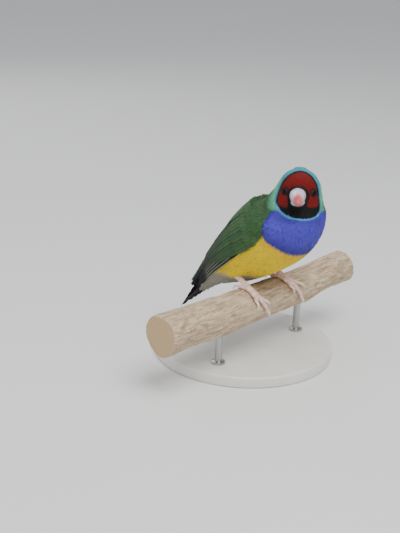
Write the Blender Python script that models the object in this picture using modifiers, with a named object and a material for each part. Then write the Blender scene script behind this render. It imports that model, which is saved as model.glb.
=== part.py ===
"""A gouldian finch, life-size, on a cut length of branch that a plain stand holds up.

The bird heads along -Y and turns its head to its own right, towards -X. Its left side is +X.
Sizes are in millimetres and degrees, and MM turns them into metres when a mesh is made.
The origin is the middle of the stand's underside.
"""

import math

import bmesh
import bpy
import numpy as np
from mathutils import Matrix, Vector

MM = 0.001
GAP = 0.3

# Body sections from the tail's tip to the shoulders:
# y, z, tilt of the section's normal above the heading, half width, reach to the back, reach to the belly
BODY_SECTIONS = (
    (37.3, 10.9, 50, 2.3, 1.7, 1.7),
    (28.8, 21.9, 48, 4.2, 2.8, 3.2),
    (20.8, 31.7, 44, 6.2, 4.2, 6.2),
    (13.8, 38.5, 40, 9.5, 6.6, 10.0),
    (3.8, 46.3, 38, 14.0, 10.4, 13.8),
    (-8.0, 54.9, 38, 16.2, 14.8, 15.6),
    (-17.5, 61.3, 48, 16.2, 17.0, 15.1),
    (-22.8, 67.2, 73, 14.8, 17.0, 13.7),
)

# Head sections along the head's own axis:
# height above its middle, half width, reach to the back, reach to the face, share of turn, share of tilt
HEAD_SECTIONS = (
    (-7.0, 12.0, 17.0, 9.8, 0.72, -0.85),
    (-3.6, 10.5, 13.8, 9.3, 0.94, -0.4),
    (0.6, 9.6, 11.6, 9.2, 1.0, 0.5),
    (4.7, 8.6, 10.2, 7.9, 1.0, 1.0),
    (8.3, 6.1, 7.5, 5.4, 1.0, 1.0),
    (10.5, 2.6, 3.4, 2.1, 1.0, 1.0),
)
HEAD_MIDDLE = (0.0, -25.4, 78.7)
HEAD_TURN = -52.0
HEAD_TILT = 14.0
CROWN_RISE = 0.6

# Feathers that bunch up on the inner side of the turned neck: how far they stand, their middle along the
# sections and round them, and their reach both ways
NAPE_FULL = 3.0
NAPE_AT = (9.0, -75.0)
NAPE_REACH = (2.0, 60.0)

# Where one node ends and the next begins, as places along the sections
TAIL_AT = 1.6
NECK_AT = 7.0
HEAD_AT = 8.5
CROWN_AT = 13.0
OVERRUN = 0.35

# The wing's bed: the torso lies this much lower under the wings
BED_DEPTH = 1.6
BED_ALONG = (1.9, 7.0)
BED_ROUND = (0.0, 118.0)
BED_SLOPE = 11.0

# The mantle between the wings, raised to their level
MANTLE_RISE = 1.2
MANTLE_ALONG = (3.3, 7.2)
MANTLE_ROUND = 9.0
MANTLE_SLOPES = (1.2, 0.8)

# Wing core and feathers
WING_CORE_ALONG = (4.55, 6.6)
WING_CORE_ROUND = (28.0, 94.0)
WING_CORE_THICK = 1.3
VANE_THICK = 0.5
SHAFT_RISE = 0.12
VANE_ALONG = (0.0, 0.3, 0.6, 0.85, 1.0)
VANE_WIDTHS = (0.55, 0.9, 1.0, 0.8, 0.18)

# How much the feathers of a tier vary: a share of their width, and of a millimetre in lift
VANE_VARIES = (0.04, 0.05)

# Each tier of wing feathers, from the lowest layer up: its count, its roots and tips along the body and round
# it, how much further back the tips reach towards the lower edge, half width, lift at root and tip, how late
# that lift comes, how much lower each tip lies than the one above it, and the louvre's slope. Tiers share one
# spacing round the body, so that each covert lies over the feather below it.
WING_TIERS = (
    dict(count=5, root=4.95, tip=2.3, reach=-0.5, round_root=(56, 92), round_tip=(50, 84),
         half=1.8, lift=(-0.3, 2.0), late=1.6, stack=0.3, louvre=0.40),
    dict(count=7, root=5.2, tip=3.4, reach=-0.2, round_root=(38, 92), round_tip=(36, 93),
         half=1.9, lift=(-0.4, 0.7), late=0.8, stack=0.0, louvre=0.36),
    dict(count=7, root=5.95, tip=4.75, reach=-0.15, round_root=(38, 92), round_tip=(38, 94),
         half=1.9, lift=(-0.4, 0.95), late=0.8, stack=0.0, louvre=0.36),
    dict(count=7, root=6.45, tip=5.7, reach=-0.1, round_root=(38, 92), round_tip=(38, 93),
         half=2.0, lift=(-0.4, 0.85), late=0.8, stack=0.0, louvre=0.36),
    dict(count=2, root=5.3, tip=3.7, reach=-0.1, round_root=(31, 40), round_tip=(23, 32),
         half=2.1, lift=(-0.4, 0.8), late=0.8, stack=0.0, louvre=0.3),
    dict(count=2, root=6.3, tip=4.5, reach=-0.1, round_root=(31, 40), round_tip=(21, 31),
         half=2.2, lift=(-0.3, 1.4), late=0.8, stack=0.0, louvre=0.3),
)

# Tail: graduated feathers, the middle pair longest and on top
TAIL_PAIRS = 6
TAIL_LONGEST = 22.5
TAIL_STEP = 2.6
TAIL_FIRST_STEP = 1.2
TAIL_HALF = 1.7
TAIL_SPREAD = 0.62
TAIL_LAYER = 0.8
TAIL_TOP = 1.9
TAIL_ROOF = 0.3
TAIL_SLOPE = 55.0
TAIL_CORE_LENGTH = 6.0

# Bill, from the gape forwards; both halves share the same mouth line
BILL_SINK = 1.4
BILL_ROOT = 0.82
BILL_HEIGHT = -2.6
BILL_SHIFT = -0.5
BILL_OUT = 8.4
BILL_PITCH = 9.0
BILL_ROLL = -4.0
UPPER_BILL = dict(length=10.4, half=4.15, rise=4.95, droop=0.7, arch=0.85, pinch=0.3)
LOWER_BILL = dict(length=9.1, half=2.85, rise=-2.35, droop=0.45, arch=0.6, pinch=0.0)
NOSTRIL = (1.8, 2.4, 4.0)
NOSTRIL_RADIUS = 0.45

# Eyes
EYE_RADIUS = 1.9
EYE_HEIGHT = 0.6
EYE_SIDE = 5.45
EYE_OUT = 6.1
EYE_FACING = 40.0
LID_RADIUS = 1.75
LID_THICK = 0.45
LID_OUT = 1.2

# Branch
PERCH_HALF = 62.0
PERCH_Y = -9.0
PERCH_TOP = 35.0
PERCH_RADIUS = 8.05
PERCH_TAPER = 0.011
PERCH_STRAIGHT = 20.0
PERCH_BEND = 0.8
PERCH_RISE = 1.2
PERCH_BLEND = 8.0
PERCH_KNOTS = (0.28, 0.22)
PERCH_WORN_END = 1.5
PERCH_END_SHRINK = 0.09

# Legs: each foot's place along the branch and round it, its heel, and for each toe how far along the branch
# it drifts and how far round the branch it ends
FEET = {
    "right": dict(
        x=-12.3, round=-40.0, heel=(-10.4, 0.0, 39.6),
        toes=dict(inner=(4.2, -62.0), middle=(6.0, -97.0), outer=(-0.6, -60.0), hind=(-0.8, 16.0)),
    ),
    "left": dict(
        x=11.2, round=-27.0, heel=(10.2, 1.1, 41.0),
        toes=dict(inner=(0.8, -55.0), middle=(7.0, -99.0), outer=(5.4, -49.0), hind=(-1.4, 20.0)),
    ),
}
TARSUS_RADII = (1.35, 1.1, 1.15, 1.4)
TARSUS_BEND = 0.7
PAD_RADII = (1.9, 2.2, 1.25)
TOE_RADII = (1.05, 0.95, 0.95, 0.8, 0.85, 0.7)
CLAW_RADII = (0.62, 0.5, 0.34, 0.14)
CLAW_ROUND = 19.0
CLAW_ARCH = 0.6

# Stand
BASE_RADIUS = 40.0
BASE_HEIGHT = 5.0
BASE_EDGE = 1.0
ROD_RADIUS = 1.6
ROD_X = 27.0

# Colour and roughness of each node's material
GREEN = ((0.05, 0.14, 0.05), 0.6)
YELLOW = ((0.62, 0.48, 0.06), 0.7)
RED = ((0.30, 0.02, 0.02), 0.6)
BLACK = ((0.01, 0.01, 0.012), 0.5)
PEARL = ((0.72, 0.50, 0.50), 0.35)
PINK = ((0.65, 0.38, 0.34), 0.55)
CREAM = ((0.80, 0.70, 0.58), 0.4)
PURPLE = ((0.10, 0.07, 0.42), 0.65)
BARK = ((0.42, 0.32, 0.22), 0.85)
STAND = ((0.75, 0.74, 0.72), 0.45)


def smooth(value):
    """0 below 0, 1 above 1, and a smooth step between."""
    value = min(max(value, 0.0), 1.0)
    return value * value * (3 - 2 * value)


def head_axes():
    """The head's side, its own upward axis and the way it faces."""
    turn = math.radians(HEAD_TURN)
    tilt = math.radians(HEAD_TILT)
    ahead = np.array([math.sin(turn), -math.cos(turn), 0.0])
    up = np.array([0.0, 0.0, 1.0])
    side = np.array([math.cos(turn), math.sin(turn), 0.0])
    return side, up * math.cos(tilt) - ahead * math.sin(tilt), ahead * math.cos(tilt) + up * math.sin(tilt)


def all_sections():
    """One row for each section: middle, turn, tilt, half width, reach to the back and to the front."""
    rows = [(0.0, y, z, 0.0, tilt, half, back, front) for y, z, tilt, half, back, front in BODY_SECTIONS]
    axis = head_axes()[1]
    for height, half, back, front, turn_share, tilt_share in HEAD_SECTIONS:
        middle = np.array(HEAD_MIDDLE) + axis * height
        rows.append((*middle, HEAD_TURN * turn_share, 90 + HEAD_TILT * tilt_share, half, back, front))
    return np.array(rows)


SECTIONS = all_sections()


def section(place):
    """The row at a place between the sections, on a smooth curve through them."""
    last = len(SECTIONS) - 1
    place = min(max(place, 0.0), float(last))
    index = min(int(place), last - 1)
    u = place - index

    def slope(i):
        before, after = max(i - 1, 0), min(i + 1, last)
        return (SECTIONS[after] - SECTIONS[before]) / (after - before)

    return (
        (2 * u**3 - 3 * u**2 + 1) * SECTIONS[index]
        + (u**3 - 2 * u**2 + u) * slope(index)
        + (3 * u**2 - 2 * u**3) * SECTIONS[index + 1]
        + (u**3 - u**2) * slope(index + 1)
    )


def section_axes(row):
    """The section's normal, its side and its way to the back."""
    turn, tilt = math.radians(row[3]), math.radians(row[4])
    ahead = np.array([math.sin(turn), -math.cos(turn), 0.0])
    up = np.array([0.0, 0.0, 1.0])
    normal = ahead * math.cos(tilt) + up * math.sin(tilt)
    side = np.array([math.cos(turn), math.sin(turn), 0.0])
    return normal, side, up * math.cos(tilt) - ahead * math.sin(tilt)


def nape(place, angle):
    """How far the bunched feathers of the turned neck stand out here."""
    along = 1 - smooth(abs(place - NAPE_AT[0]) / NAPE_REACH[0])
    across = abs((angle - NAPE_AT[1] + 180) % 360 - 180)
    return NAPE_FULL * along * (1 - smooth(across / NAPE_REACH[1]))


def body(place, angle, lift=0.0):
    """A point on the body: angle 0 is the middle of the back, 90 the left side, 180 the belly."""
    row = section(place)
    normal, side, back = section_axes(row)
    turn = math.radians(angle)
    lift = lift + nape(place, angle)
    reach = row[6] if math.cos(turn) > 0 else row[7]
    return row[:3] + side * (row[5] + lift) * math.sin(turn) + back * (reach + lift) * math.cos(turn)


def bed(place, angle):
    """How much lower the torso lies here, to make room for the folded wing."""
    angle = abs((angle + 180) % 360 - 180)
    along = smooth((place - BED_ALONG[0]) / 0.7) * smooth((BED_ALONG[1] - place) / 0.25)
    across = smooth((angle - BED_ROUND[0]) / BED_SLOPE) * smooth((BED_ROUND[1] - angle) / BED_SLOPE)
    return BED_DEPTH * along * across


def mantle(place, angle):
    """How much higher the torso stands here, along the middle of the back between the wings."""
    angle = abs((angle + 180) % 360 - 180)
    starts = smooth((place - MANTLE_ALONG[0]) / MANTLE_SLOPES[0])
    ends = smooth((MANTLE_ALONG[1] - place) / MANTLE_SLOPES[1])
    return MANTLE_RISE * starts * ends * (1 - smooth(angle / MANTLE_ROUND))


def new_object(name, mesh):
    made = bpy.data.objects.new(name, mesh)
    PARTS.objects.link(made)
    return made


def mesh_from(name, points, faces):
    """A closed mesh object from points in millimetres, its faces turned outwards."""
    mesh = bpy.data.meshes.new(name)
    mesh.from_pydata([tuple(float(c) * MM for c in point) for point in points], [], faces)
    work = bmesh.new()
    work.from_mesh(mesh)
    bmesh.ops.recalc_face_normals(work, faces=work.faces[:])
    work.to_mesh(mesh)
    work.free()
    return new_object(name, mesh)


def loft(name, rings, ends):
    """A closed surface over rings of equal count, each end drawn to its own middle point."""
    count = len(rings[0])
    points = [point for ring in rings for point in ring] + list(ends)
    faces = []
    for i in range(len(rings) - 1):
        for j in range(count):
            a, b = i * count + j, i * count + (j + 1) % count
            faces.append((a, b, b + count, a + count))
    first, last = len(points) - 2, len(points) - 1
    top = (len(rings) - 1) * count
    for j in range(count):
        faces.append((first, (j + 1) % count, j))
        faces.append((last, top + j, top + (j + 1) % count))
    return mesh_from(name, points, faces)


def body_loft(name, start, end, rings, sides, lift=0.0, rise=0.0, wing_bed=False):
    """A length of the body. rise domes its last end."""
    made = []
    middles = []
    for place in np.linspace(start, end, rings):
        ring = []
        for j in range(sides):
            angle = 360 * j / sides
            rise_here = mantle(place, angle) - bed(place, angle) if wing_bed else 0.0
            ring.append(body(place, angle, lift + rise_here))
        made.append(ring)
        middles.append(section(place)[:3])
    top = middles[-1] + section_axes(section(end))[0] * rise
    return loft(name, made, (middles[0], top))


def cut_at(made, place, side):
    """Cuts the object flat at a section, half a gap short of it. side is 1 to keep what is beyond, or -1."""
    row = section(place)
    normal = section_axes(row)[0]
    work = bmesh.new()
    work.from_mesh(made.data)
    found = bmesh.ops.bisect_plane(
        work,
        geom=work.verts[:] + work.edges[:] + work.faces[:],
        dist=0.000001,
        plane_co=Vector((row[:3] + normal * side * GAP / 2) * MM),
        plane_no=Vector(normal),
        clear_inner=side > 0,
        clear_outer=side < 0,
    )
    edges = [item for item in found["geom_cut"] if isinstance(item, bmesh.types.BMEdge)]
    bmesh.ops.edgeloop_fill(work, edges=edges)
    bmesh.ops.recalc_face_normals(work, faces=work.faces[:])
    work.to_mesh(made.data)
    work.free()
    keep_largest(made)
    return made


def keep_largest(made):
    """Leaves the object's largest closed surface."""
    work = bmesh.new()
    work.from_mesh(made.data)
    left = set(work.faces)
    islands = []
    while left:
        seed = left.pop()
        island, queue = [seed], [seed]
        while queue:
            for edge in queue.pop().edges:
                for face in edge.link_faces:
                    if face in left:
                        left.remove(face)
                        island.append(face)
                        queue.append(face)
        islands.append(island)
    islands.sort(key=lambda island: sum(face.calc_area() for face in island))
    loose = [face for island in islands[:-1] for face in island]
    bmesh.ops.delete(work, geom=loose, context="FACES")
    work.to_mesh(made.data)
    work.free()


def applied(made):
    """The object's mesh with its modifiers applied."""
    bpy.context.view_layer.update()
    graph = bpy.context.evaluated_depsgraph_get()
    mesh = bpy.data.meshes.new_from_object(made.evaluated_get(graph))
    made.modifiers.clear()
    made.data = mesh


def combine(made, others, operation, solver="EXACT"):
    """Joins the others to an object, or cuts them from it, and removes them."""
    tools = bpy.data.collections.new("tools")
    bpy.context.scene.collection.children.link(tools)
    for other in others:
        PARTS.objects.unlink(other)
        tools.objects.link(other)
    boolean = made.modifiers.new(operation.lower(), "BOOLEAN")
    boolean.operation = operation
    boolean.operand_type = "COLLECTION"
    boolean.collection = tools
    boolean.solver = solver
    applied(made)
    for other in others:
        bpy.data.objects.remove(other)
    bpy.data.collections.remove(tools)
    keep_largest(made)


def tube(name, points, radii, smoothness=2):
    """A round tube through the points, capped at both ends, as a closed mesh."""
    curve = bpy.data.curves.new(name, "CURVE")
    curve.dimensions = "3D"
    curve.bevel_depth = MM
    curve.bevel_resolution = smoothness
    curve.use_fill_caps = True
    spline = curve.splines.new("POLY")
    spline.points.add(len(points) - 1)
    for knot, point, radius in zip(spline.points, points, radii):
        knot.co = (*(float(c) * MM for c in point), 1.0)
        knot.radius = radius
    drawn = new_object(name + "_curve", curve)
    bpy.context.view_layer.update()
    graph = bpy.context.evaluated_depsgraph_get()
    mesh = bpy.data.meshes.new_from_object(drawn.evaluated_get(graph))
    bpy.data.objects.remove(drawn)
    work = bmesh.new()
    work.from_mesh(mesh)
    bmesh.ops.remove_doubles(work, verts=work.verts[:], dist=0.00002)
    bmesh.ops.recalc_face_normals(work, faces=work.faces[:])
    work.to_mesh(mesh)
    work.free()
    return new_object(name, mesh)


def ball(name, middle, radii, axes=None, segments=16, rings=10):
    """A sphere or ellipsoid, its radii along the given axes."""
    turn = Matrix.Identity(3) if axes is None else Matrix([Vector(a) for a in axes]).transposed()
    mesh = bpy.data.meshes.new(name)
    work = bmesh.new()
    bmesh.ops.create_uvsphere(work, u_segments=segments, v_segments=rings, radius=MM)
    scale = Matrix.Diagonal(Vector(radii)).to_3x3()
    place = Matrix.Translation(Vector([float(c) * MM for c in middle])) @ (turn @ scale).to_4x4()
    bmesh.ops.transform(work, matrix=place, verts=work.verts[:])
    bmesh.ops.recalc_face_normals(work, faces=work.faces[:])
    work.to_mesh(mesh)
    work.free()
    return new_object(name, mesh)


def ring_round(name, middle, axis, radius, thick, segments=16, sides=6):
    """A torus about an axis."""
    axis = Vector(axis).normalized()
    across = axis.orthogonal().normalized()
    third = axis.cross(across)
    points = []
    for i in range(segments):
        turn = 2 * math.pi * i / segments
        out = across * math.cos(turn) + third * math.sin(turn)
        for j in range(sides):
            roll = 2 * math.pi * j / sides
            reach = radius + thick * math.cos(roll)
            points.append(Vector(middle) + out * reach + axis * thick * math.sin(roll))
    faces = []
    for i in range(segments):
        for j in range(sides):
            k, m = (i + 1) % segments, (j + 1) % sides
            faces.append((i * sides + j, k * sides + j, k * sides + m, i * sides + m))
    return mesh_from(name, points, faces)


def vane(name, rows):
    """A feather's vane from rows of three points, left edge, shaft and right edge, given one thickness."""
    points = [point for row in rows for point in row]
    faces = []
    for i in range(len(rows) - 1):
        for j in range(2):
            a = 3 * i + j
            faces.append((a, a + 1, a + 4))
            faces.append((a, a + 4, a + 3))
    mesh = bpy.data.meshes.new(name)
    mesh.from_pydata([tuple(float(c) * MM for c in point) for point in points], [], faces)
    made = new_object(name, mesh)
    solid = made.modifiers.new("thickness", "SOLIDIFY")
    solid.thickness = VANE_THICK * MM
    solid.offset = 0
    applied(made)
    work = bmesh.new()
    work.from_mesh(made.data)
    bmesh.ops.recalc_face_normals(work, faces=work.faces[:])
    bmesh.ops.triangulate(work, faces=work.faces[:])
    work.to_mesh(made.data)
    work.free()
    return made


def wing_vane(name, side, tier, index):
    """One feather of a tier, laid along the body from its root to its tip."""
    share = index / (tier["count"] - 1)
    wide = 1 + VANE_VARIES[0] * math.sin(2.1 * index + 3.0 * tier["root"])
    high = VANE_VARIES[1] * math.sin(1.7 * index + 5.0 * tier["root"] + side)
    root = tier["root"]
    tip = tier["tip"] + tier["reach"] * share
    from_round = tier["round_root"][0] + (tier["round_root"][1] - tier["round_root"][0]) * share
    to_round = tier["round_tip"][0] + (tier["round_tip"][1] - tier["round_tip"][0]) * share
    rows = []
    for u, width in zip(VANE_ALONG, VANE_WIDTHS):
        place = root + (tip - root) * u
        middle = from_round + (to_round - from_round) * u
        lift = tier["lift"][0] + (tier["lift"][1] - tier["lift"][0]) * u ** tier["late"]
        lift += high - tier["stack"] * index * u
        row = section(place)
        half = tier["half"] * width * wide
        turn = math.degrees(half / (0.5 * (row[5] + row[6]) + lift))
        points = []
        for edge in (-1, 0, 1):
            rise = edge * half * tier["louvre"] + (SHAFT_RISE if edge == 0 else 0.0)
            points.append(body(place, side * (middle + edge * turn), lift + rise))
        rows.append(points)
    return vane(name, rows)


def wing(side, label):
    """A folded wing: a thin core over the shoulder with its feathers in tiers."""
    along = np.linspace(*WING_CORE_ALONG, 9)
    across = np.linspace(*WING_CORE_ROUND, 10)
    inner_lift = GAP - BED_DEPTH
    points = []
    for lift in (inner_lift, inner_lift + WING_CORE_THICK):
        for place in along:
            points += [body(place, side * angle, lift) for angle in across]
    rows, columns = len(along), len(across)
    layer = rows * columns
    faces = []
    for i in range(rows - 1):
        for j in range(columns - 1):
            a = i * columns + j
            faces.append((a, a + 1, a + columns + 1, a + columns))
            faces.append((a + layer, a + columns + layer, a + columns + 1 + layer, a + 1 + layer))
    edge = [j for j in range(columns)]
    edge += [i * columns + columns - 1 for i in range(1, rows)]
    edge += [(rows - 1) * columns + j for j in range(columns - 2, -1, -1)]
    edge += [i * columns for i in range(rows - 2, 0, -1)]
    for a, b in zip(edge, edge[1:] + edge[:1]):
        faces.append((a, b, b + layer, a + layer))
    core = mesh_from("wing_" + label, points, faces)
    feathers = []
    for number, tier in enumerate(WING_TIERS):
        for index in range(tier["count"]):
            feathers.append(wing_vane(f"vane_{label}_{number}_{index}", side, tier, index))
    combine(core, feathers, "UNION", "MANIFOLD")
    return core


def tail():
    """The tail: a short core that leaves the torso's end, with graduated feathers rooted in it."""
    row = section(TAIL_AT)
    normal = section_axes(row)[0]
    slope = math.radians(TAIL_SLOPE)
    along = np.array([0.0, math.cos(slope), -math.sin(slope)])
    over = np.array([0.0, math.sin(slope), math.cos(slope)])
    across = np.array([1.0, 0.0, 0.0])
    start = row[:3] - normal * GAP
    sides = 20
    rings = []
    for i in range(4):
        share = i / 3
        shrink = 1 - 0.45 * share
        middle = start + along * TAIL_CORE_LENGTH * share
        ring = []
        for j in range(sides):
            turn = 2 * math.pi * j / sides
            reach = row[6] if math.cos(turn) > 0 else row[7]
            first_across, first_over = section_axes(row)[1:]
            out = first_over * (1 - share) + over * share
            ring.append(
                middle
                + first_across * row[5] * shrink * math.sin(turn)
                + out * reach * shrink * math.cos(turn)
            )
        rings.append(ring)
    core = loft("tail", rings, (start, start + along * TAIL_CORE_LENGTH))
    feathers = []
    for pair in range(TAIL_PAIRS):
        length = TAIL_LONGEST - TAIL_STEP * pair - (TAIL_FIRST_STEP if pair else 0.0)
        for side in (-1, 1):
            rows = []
            for u, width in zip(VANE_ALONG, VANE_WIDTHS):
                gone = 2.0 + (length - 2.0) * u
                out = side * (0.95 + TAIL_SPREAD * pair * (0.6 + 0.4 * u))
                layer = TAIL_TOP - TAIL_LAYER * pair - 0.4 * (side < 0)
                half = TAIL_HALF * width
                points = []
                for edge in (-1, 0, 1):
                    rise = -side * edge * half * TAIL_ROOF + (SHAFT_RISE if edge == 0 else 0.0)
                    points.append(start + along * gone + across * (out + edge * half) + over * (layer + rise))
                rows.append(points)
            feathers.append(vane(f"tail_vane_{pair}_{side + 1}", rows))
    combine(core, feathers, "UNION")
    return core


def bill_axes():
    """The bill's start, the way it points, its side and its up."""
    side, up, facing = head_axes()
    turn = math.radians(HEAD_TURN)
    pitch = math.radians(BILL_PITCH)
    level = np.array([math.sin(turn), -math.cos(turn), 0.0])
    ahead = level * math.cos(pitch) + np.array([0.0, 0.0, math.sin(pitch)])
    start = np.array(HEAD_MIDDLE) + up * BILL_HEIGHT + side * BILL_SHIFT + facing * BILL_OUT
    over = np.cross(ahead, side)
    over = over if over[2] > 0 else -over
    roll = math.radians(BILL_ROLL)
    across = side * math.cos(roll) - over * math.sin(roll)
    return start, ahead, across, side * math.sin(roll) + over * math.cos(roll)


def bill(name, form, grow=0.0):
    """Half of the bill: arched sections over a flat mouth line, closing to a point that droops a little."""
    start, ahead, side, up = bill_axes()
    arc = 9
    sign = 1 if form["rise"] > 0 else -1
    rings = []
    stations = [-BILL_SINK - grow] + [form["length"] * s for s in (0.1, 0.28, 0.46, 0.63, 0.78, 0.9, 0.97)]
    for s in stations:
        u = max(s, 0.0) / form["length"]
        root = BILL_ROOT if s < 0 else 1.0
        half = form["half"] * root * (1 - u**1.7) ** 0.85 + grow
        rise = abs(form["rise"]) * root * (1 - u**1.8) ** 0.8 + grow
        flat = GAP / 2 - grow - sign * form["droop"] * u * u
        ring = []
        for j in range(arc):
            turn = math.pi * j / (arc - 1)
            arched = math.sin(turn) ** form["arch"]
            height = flat + max(rise - flat, 0.15) * arched
            out = half * (1 - form["pinch"] * (1 - arched) ** 2) * math.cos(turn)
            ring.append(start + ahead * s + side * out + up * sign * height)
        rings.append(ring)
    tip_drop = GAP / 2 + 0.1 - sign * form["droop"]
    tip = start + ahead * (form["length"] + grow) + up * sign * tip_drop
    back = rings[0][0] * 0.5 + rings[0][-1] * 0.5 + up * sign * 0.4
    return loft(name, rings, (back, tip))


def head():
    """The head with its lids, its eye sockets and the seat of the bill."""
    made = cut_at(body_loft("head", HEAD_AT - OVERRUN, CROWN_AT, 16, 28, rise=CROWN_RISE), HEAD_AT, 1)
    side, up, facing = head_axes()
    lids, cutters = [], []
    facing_turn = math.radians(EYE_FACING)
    for label, sign in (("left", 1), ("right", -1)):
        middle = np.array(HEAD_MIDDLE) + up * EYE_HEIGHT + side * sign * EYE_SIDE + facing * EYE_OUT
        look = side * sign * math.sin(facing_turn) + facing * math.cos(facing_turn)
        eye = ball("eye_" + label, middle, (EYE_RADIUS,) * 3, segments=16, rings=10)
        paint(eye, "eye", BLACK, 0.1)
        lids.append(ring_round("lid", middle + look * LID_OUT, look, LID_RADIUS, LID_THICK))
        cutters.append(ball("socket", middle, (EYE_RADIUS + GAP,) * 3, segments=16, rings=10))
    combine(made, lids, "UNION")
    cutters.append(bill("upper_seat", UPPER_BILL, GAP))
    cutters.append(bill("lower_seat", LOWER_BILL, GAP))
    for cutter in cutters:
        combine(made, [cutter], "DIFFERENCE")
    return made


def bill_upper():
    """The upper half with a nostril on each side."""
    made = bill("bill_upper", UPPER_BILL)
    start, ahead, side, up = bill_axes()
    pits = []
    for sign in (-1, 1):
        middle = start + ahead * NOSTRIL[0] + side * sign * NOSTRIL[1] + up * NOSTRIL[2]
        pits.append(ball("pit", middle, (NOSTRIL_RADIUS * 1.5,) * 3, segments=10, rings=6))
    combine(made, pits, "DIFFERENCE")
    return made


def perch_axis(x):
    """The branch's middle and radius at x: straight where it is gripped, with a slight bend beyond."""
    beyond = smooth((abs(x) - PERCH_STRAIGHT) / (PERCH_HALF - PERCH_STRAIGHT))
    radius = PERCH_RADIUS - PERCH_TAPER * x
    rise = PERCH_RISE * beyond if x > 0 else 0.0
    return np.array([x, PERCH_Y + PERCH_BEND * beyond, PERCH_TOP - PERCH_RADIUS + rise]), radius


def perch_reach(x, turn):
    """The branch's own reach at x, round and smooth where it is gripped and a little knotty beyond."""
    free = smooth((abs(x) - PERCH_STRAIGHT) / PERCH_BLEND)
    knots = PERCH_KNOTS[0] * math.sin(3 * turn + 0.13 * x) + PERCH_KNOTS[1] * math.sin(2 * turn - 0.21 * x)
    end = 1.0 - PERCH_END_SHRINK * smooth((abs(x) - PERCH_HALF + PERCH_WORN_END) / PERCH_WORN_END)
    return (perch_axis(x)[1] + knots * free) * end


def on_perch(x, angle, lift):
    """A point above the branch's bark: angle 0 is its top, negative ones are in front."""
    middle, radius = perch_axis(x)
    turn = math.radians(angle)
    reach = radius + lift
    return middle + np.array([0.0, reach * math.sin(turn), reach * math.cos(turn)])


def perch():
    """A cut length of branch, its rings a little uneven away from the feet."""
    sides = 28
    rings, middles = [], []
    for x in np.linspace(-PERCH_HALF, PERCH_HALF, 25):
        middle = perch_axis(x)[0]
        ring = []
        for j in range(sides):
            turn = 2 * math.pi * j / sides
            out = np.array([0.0, math.sin(turn), math.cos(turn)])
            ring.append(middle + out * perch_reach(x, turn))
        rings.append(ring)
        middles.append(middle)
    return loft("perch", rings, (middles[0], middles[-1]))


def leg(label, foot):
    """A leg from the belly to the grip: tarsus, pad and four toes, with a claw on each as its own node."""
    pad_at = on_perch(foot["x"], foot["round"], GAP + PAD_RADII[2])
    heel = np.array(foot["heel"])
    route = []
    for u in np.linspace(0, 1, len(TARSUS_RADII)):
        bow = np.array([0.0, 0.0, TARSUS_BEND * math.sin(math.pi * u)])
        route.append(pad_at + (heel - pad_at) * u + bow)
    made = tube("leg_" + label, route, TARSUS_RADII)
    turn = math.radians(foot["round"])
    outward = np.array([0.0, math.sin(turn), math.cos(turn)])
    forward = np.array([0.0, -math.cos(turn), math.sin(turn)])
    pieces = [ball("pad", pad_at, PAD_RADII, (np.array([1.0, 0, 0]), forward, outward), 12, 8)]
    for name, (drift, end) in foot["toes"].items():
        points = []
        for u, radius in zip(np.linspace(0, 1, len(TOE_RADII)), TOE_RADII):
            angle = foot["round"] + (end - foot["round"]) * u
            points.append(on_perch(foot["x"] + drift * u**0.9, angle, GAP + radius))
        pieces.append(tube("toe", points, TOE_RADII))
        way = 1 if end > foot["round"] else -1
        step = drift / abs(end - foot["round"])
        gap_angle = math.degrees(GAP / (PERCH_RADIUS + TOE_RADII[-1]))
        claw_points = []
        for u, radius in zip(np.linspace(0, 1, len(CLAW_RADII)), CLAW_RADII):
            turned = gap_angle + CLAW_ROUND * u
            lift = 1.3 * GAP + radius + CLAW_ARCH * math.sin(math.pi * u)
            x = foot["x"] + drift + 0.9 * step * turned
            claw_points.append(on_perch(x, end + way * turned, lift))
        claw = tube(f"claw_{label}_{name}", claw_points, CLAW_RADII, 1)
        paint(claw, "horn", CREAM)
    combine(made, pieces, "UNION")
    torso_room = body_loft("room", TAIL_AT, NECK_AT, 24, 32, lift=GAP)
    combine(made, [torso_room], "DIFFERENCE")
    return made


def cylinder(name, radius, low, high, x=0.0, y=0.0, sides=24):
    """An upright round bar."""
    mesh = bpy.data.meshes.new(name)
    work = bmesh.new()
    place = Matrix.Translation((x * MM, y * MM, (low + high) / 2 * MM))
    bmesh.ops.create_cone(
        work, cap_ends=True, segments=sides, radius1=radius * MM, radius2=radius * MM,
        depth=(high - low) * MM, matrix=place,
    )
    work.to_mesh(mesh)
    work.free()
    return new_object(name, mesh)


def stand():
    """A round base with two rods that end just under the branch."""
    base = cylinder("stand_base", BASE_RADIUS, 0.0, BASE_HEIGHT, sides=64)
    bevel = base.modifiers.new("edge", "BEVEL")
    bevel.width = BASE_EDGE * MM
    bevel.segments = 1
    bevel.limit_method = "ANGLE"
    bevel.angle_limit = math.radians(40)
    paint(base, "stand", STAND)
    for label, x in (("left", ROD_X), ("right", -ROD_X)):
        middle = perch_axis(x)[0]
        top = middle[2] - perch_reach(x, math.pi) - GAP
        rod = cylinder("stand_rod_" + label, ROD_RADIUS, BASE_HEIGHT + GAP, top, x, middle[1], 20)
        paint(rod, "rod", STAND, 0.3)


def paint(made, name, look, roughness=None):
    """A Principled material in the node's own colour."""
    colour, rough = look
    material = bpy.data.materials.new(made.name + "_" + name)
    material.use_nodes = True
    shader = material.node_tree.nodes["Principled BSDF"]
    shader.inputs["Base Color"].default_value = (*colour, 1.0)
    shader.inputs["Roughness"].default_value = rough if roughness is None else roughness
    made.data.materials.clear()
    made.data.materials.append(material)


for old in list(bpy.data.objects):
    bpy.data.objects.remove(old)

PARTS = bpy.data.collections.new("gouldian_finch")
bpy.context.scene.collection.children.link(PARTS)

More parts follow.
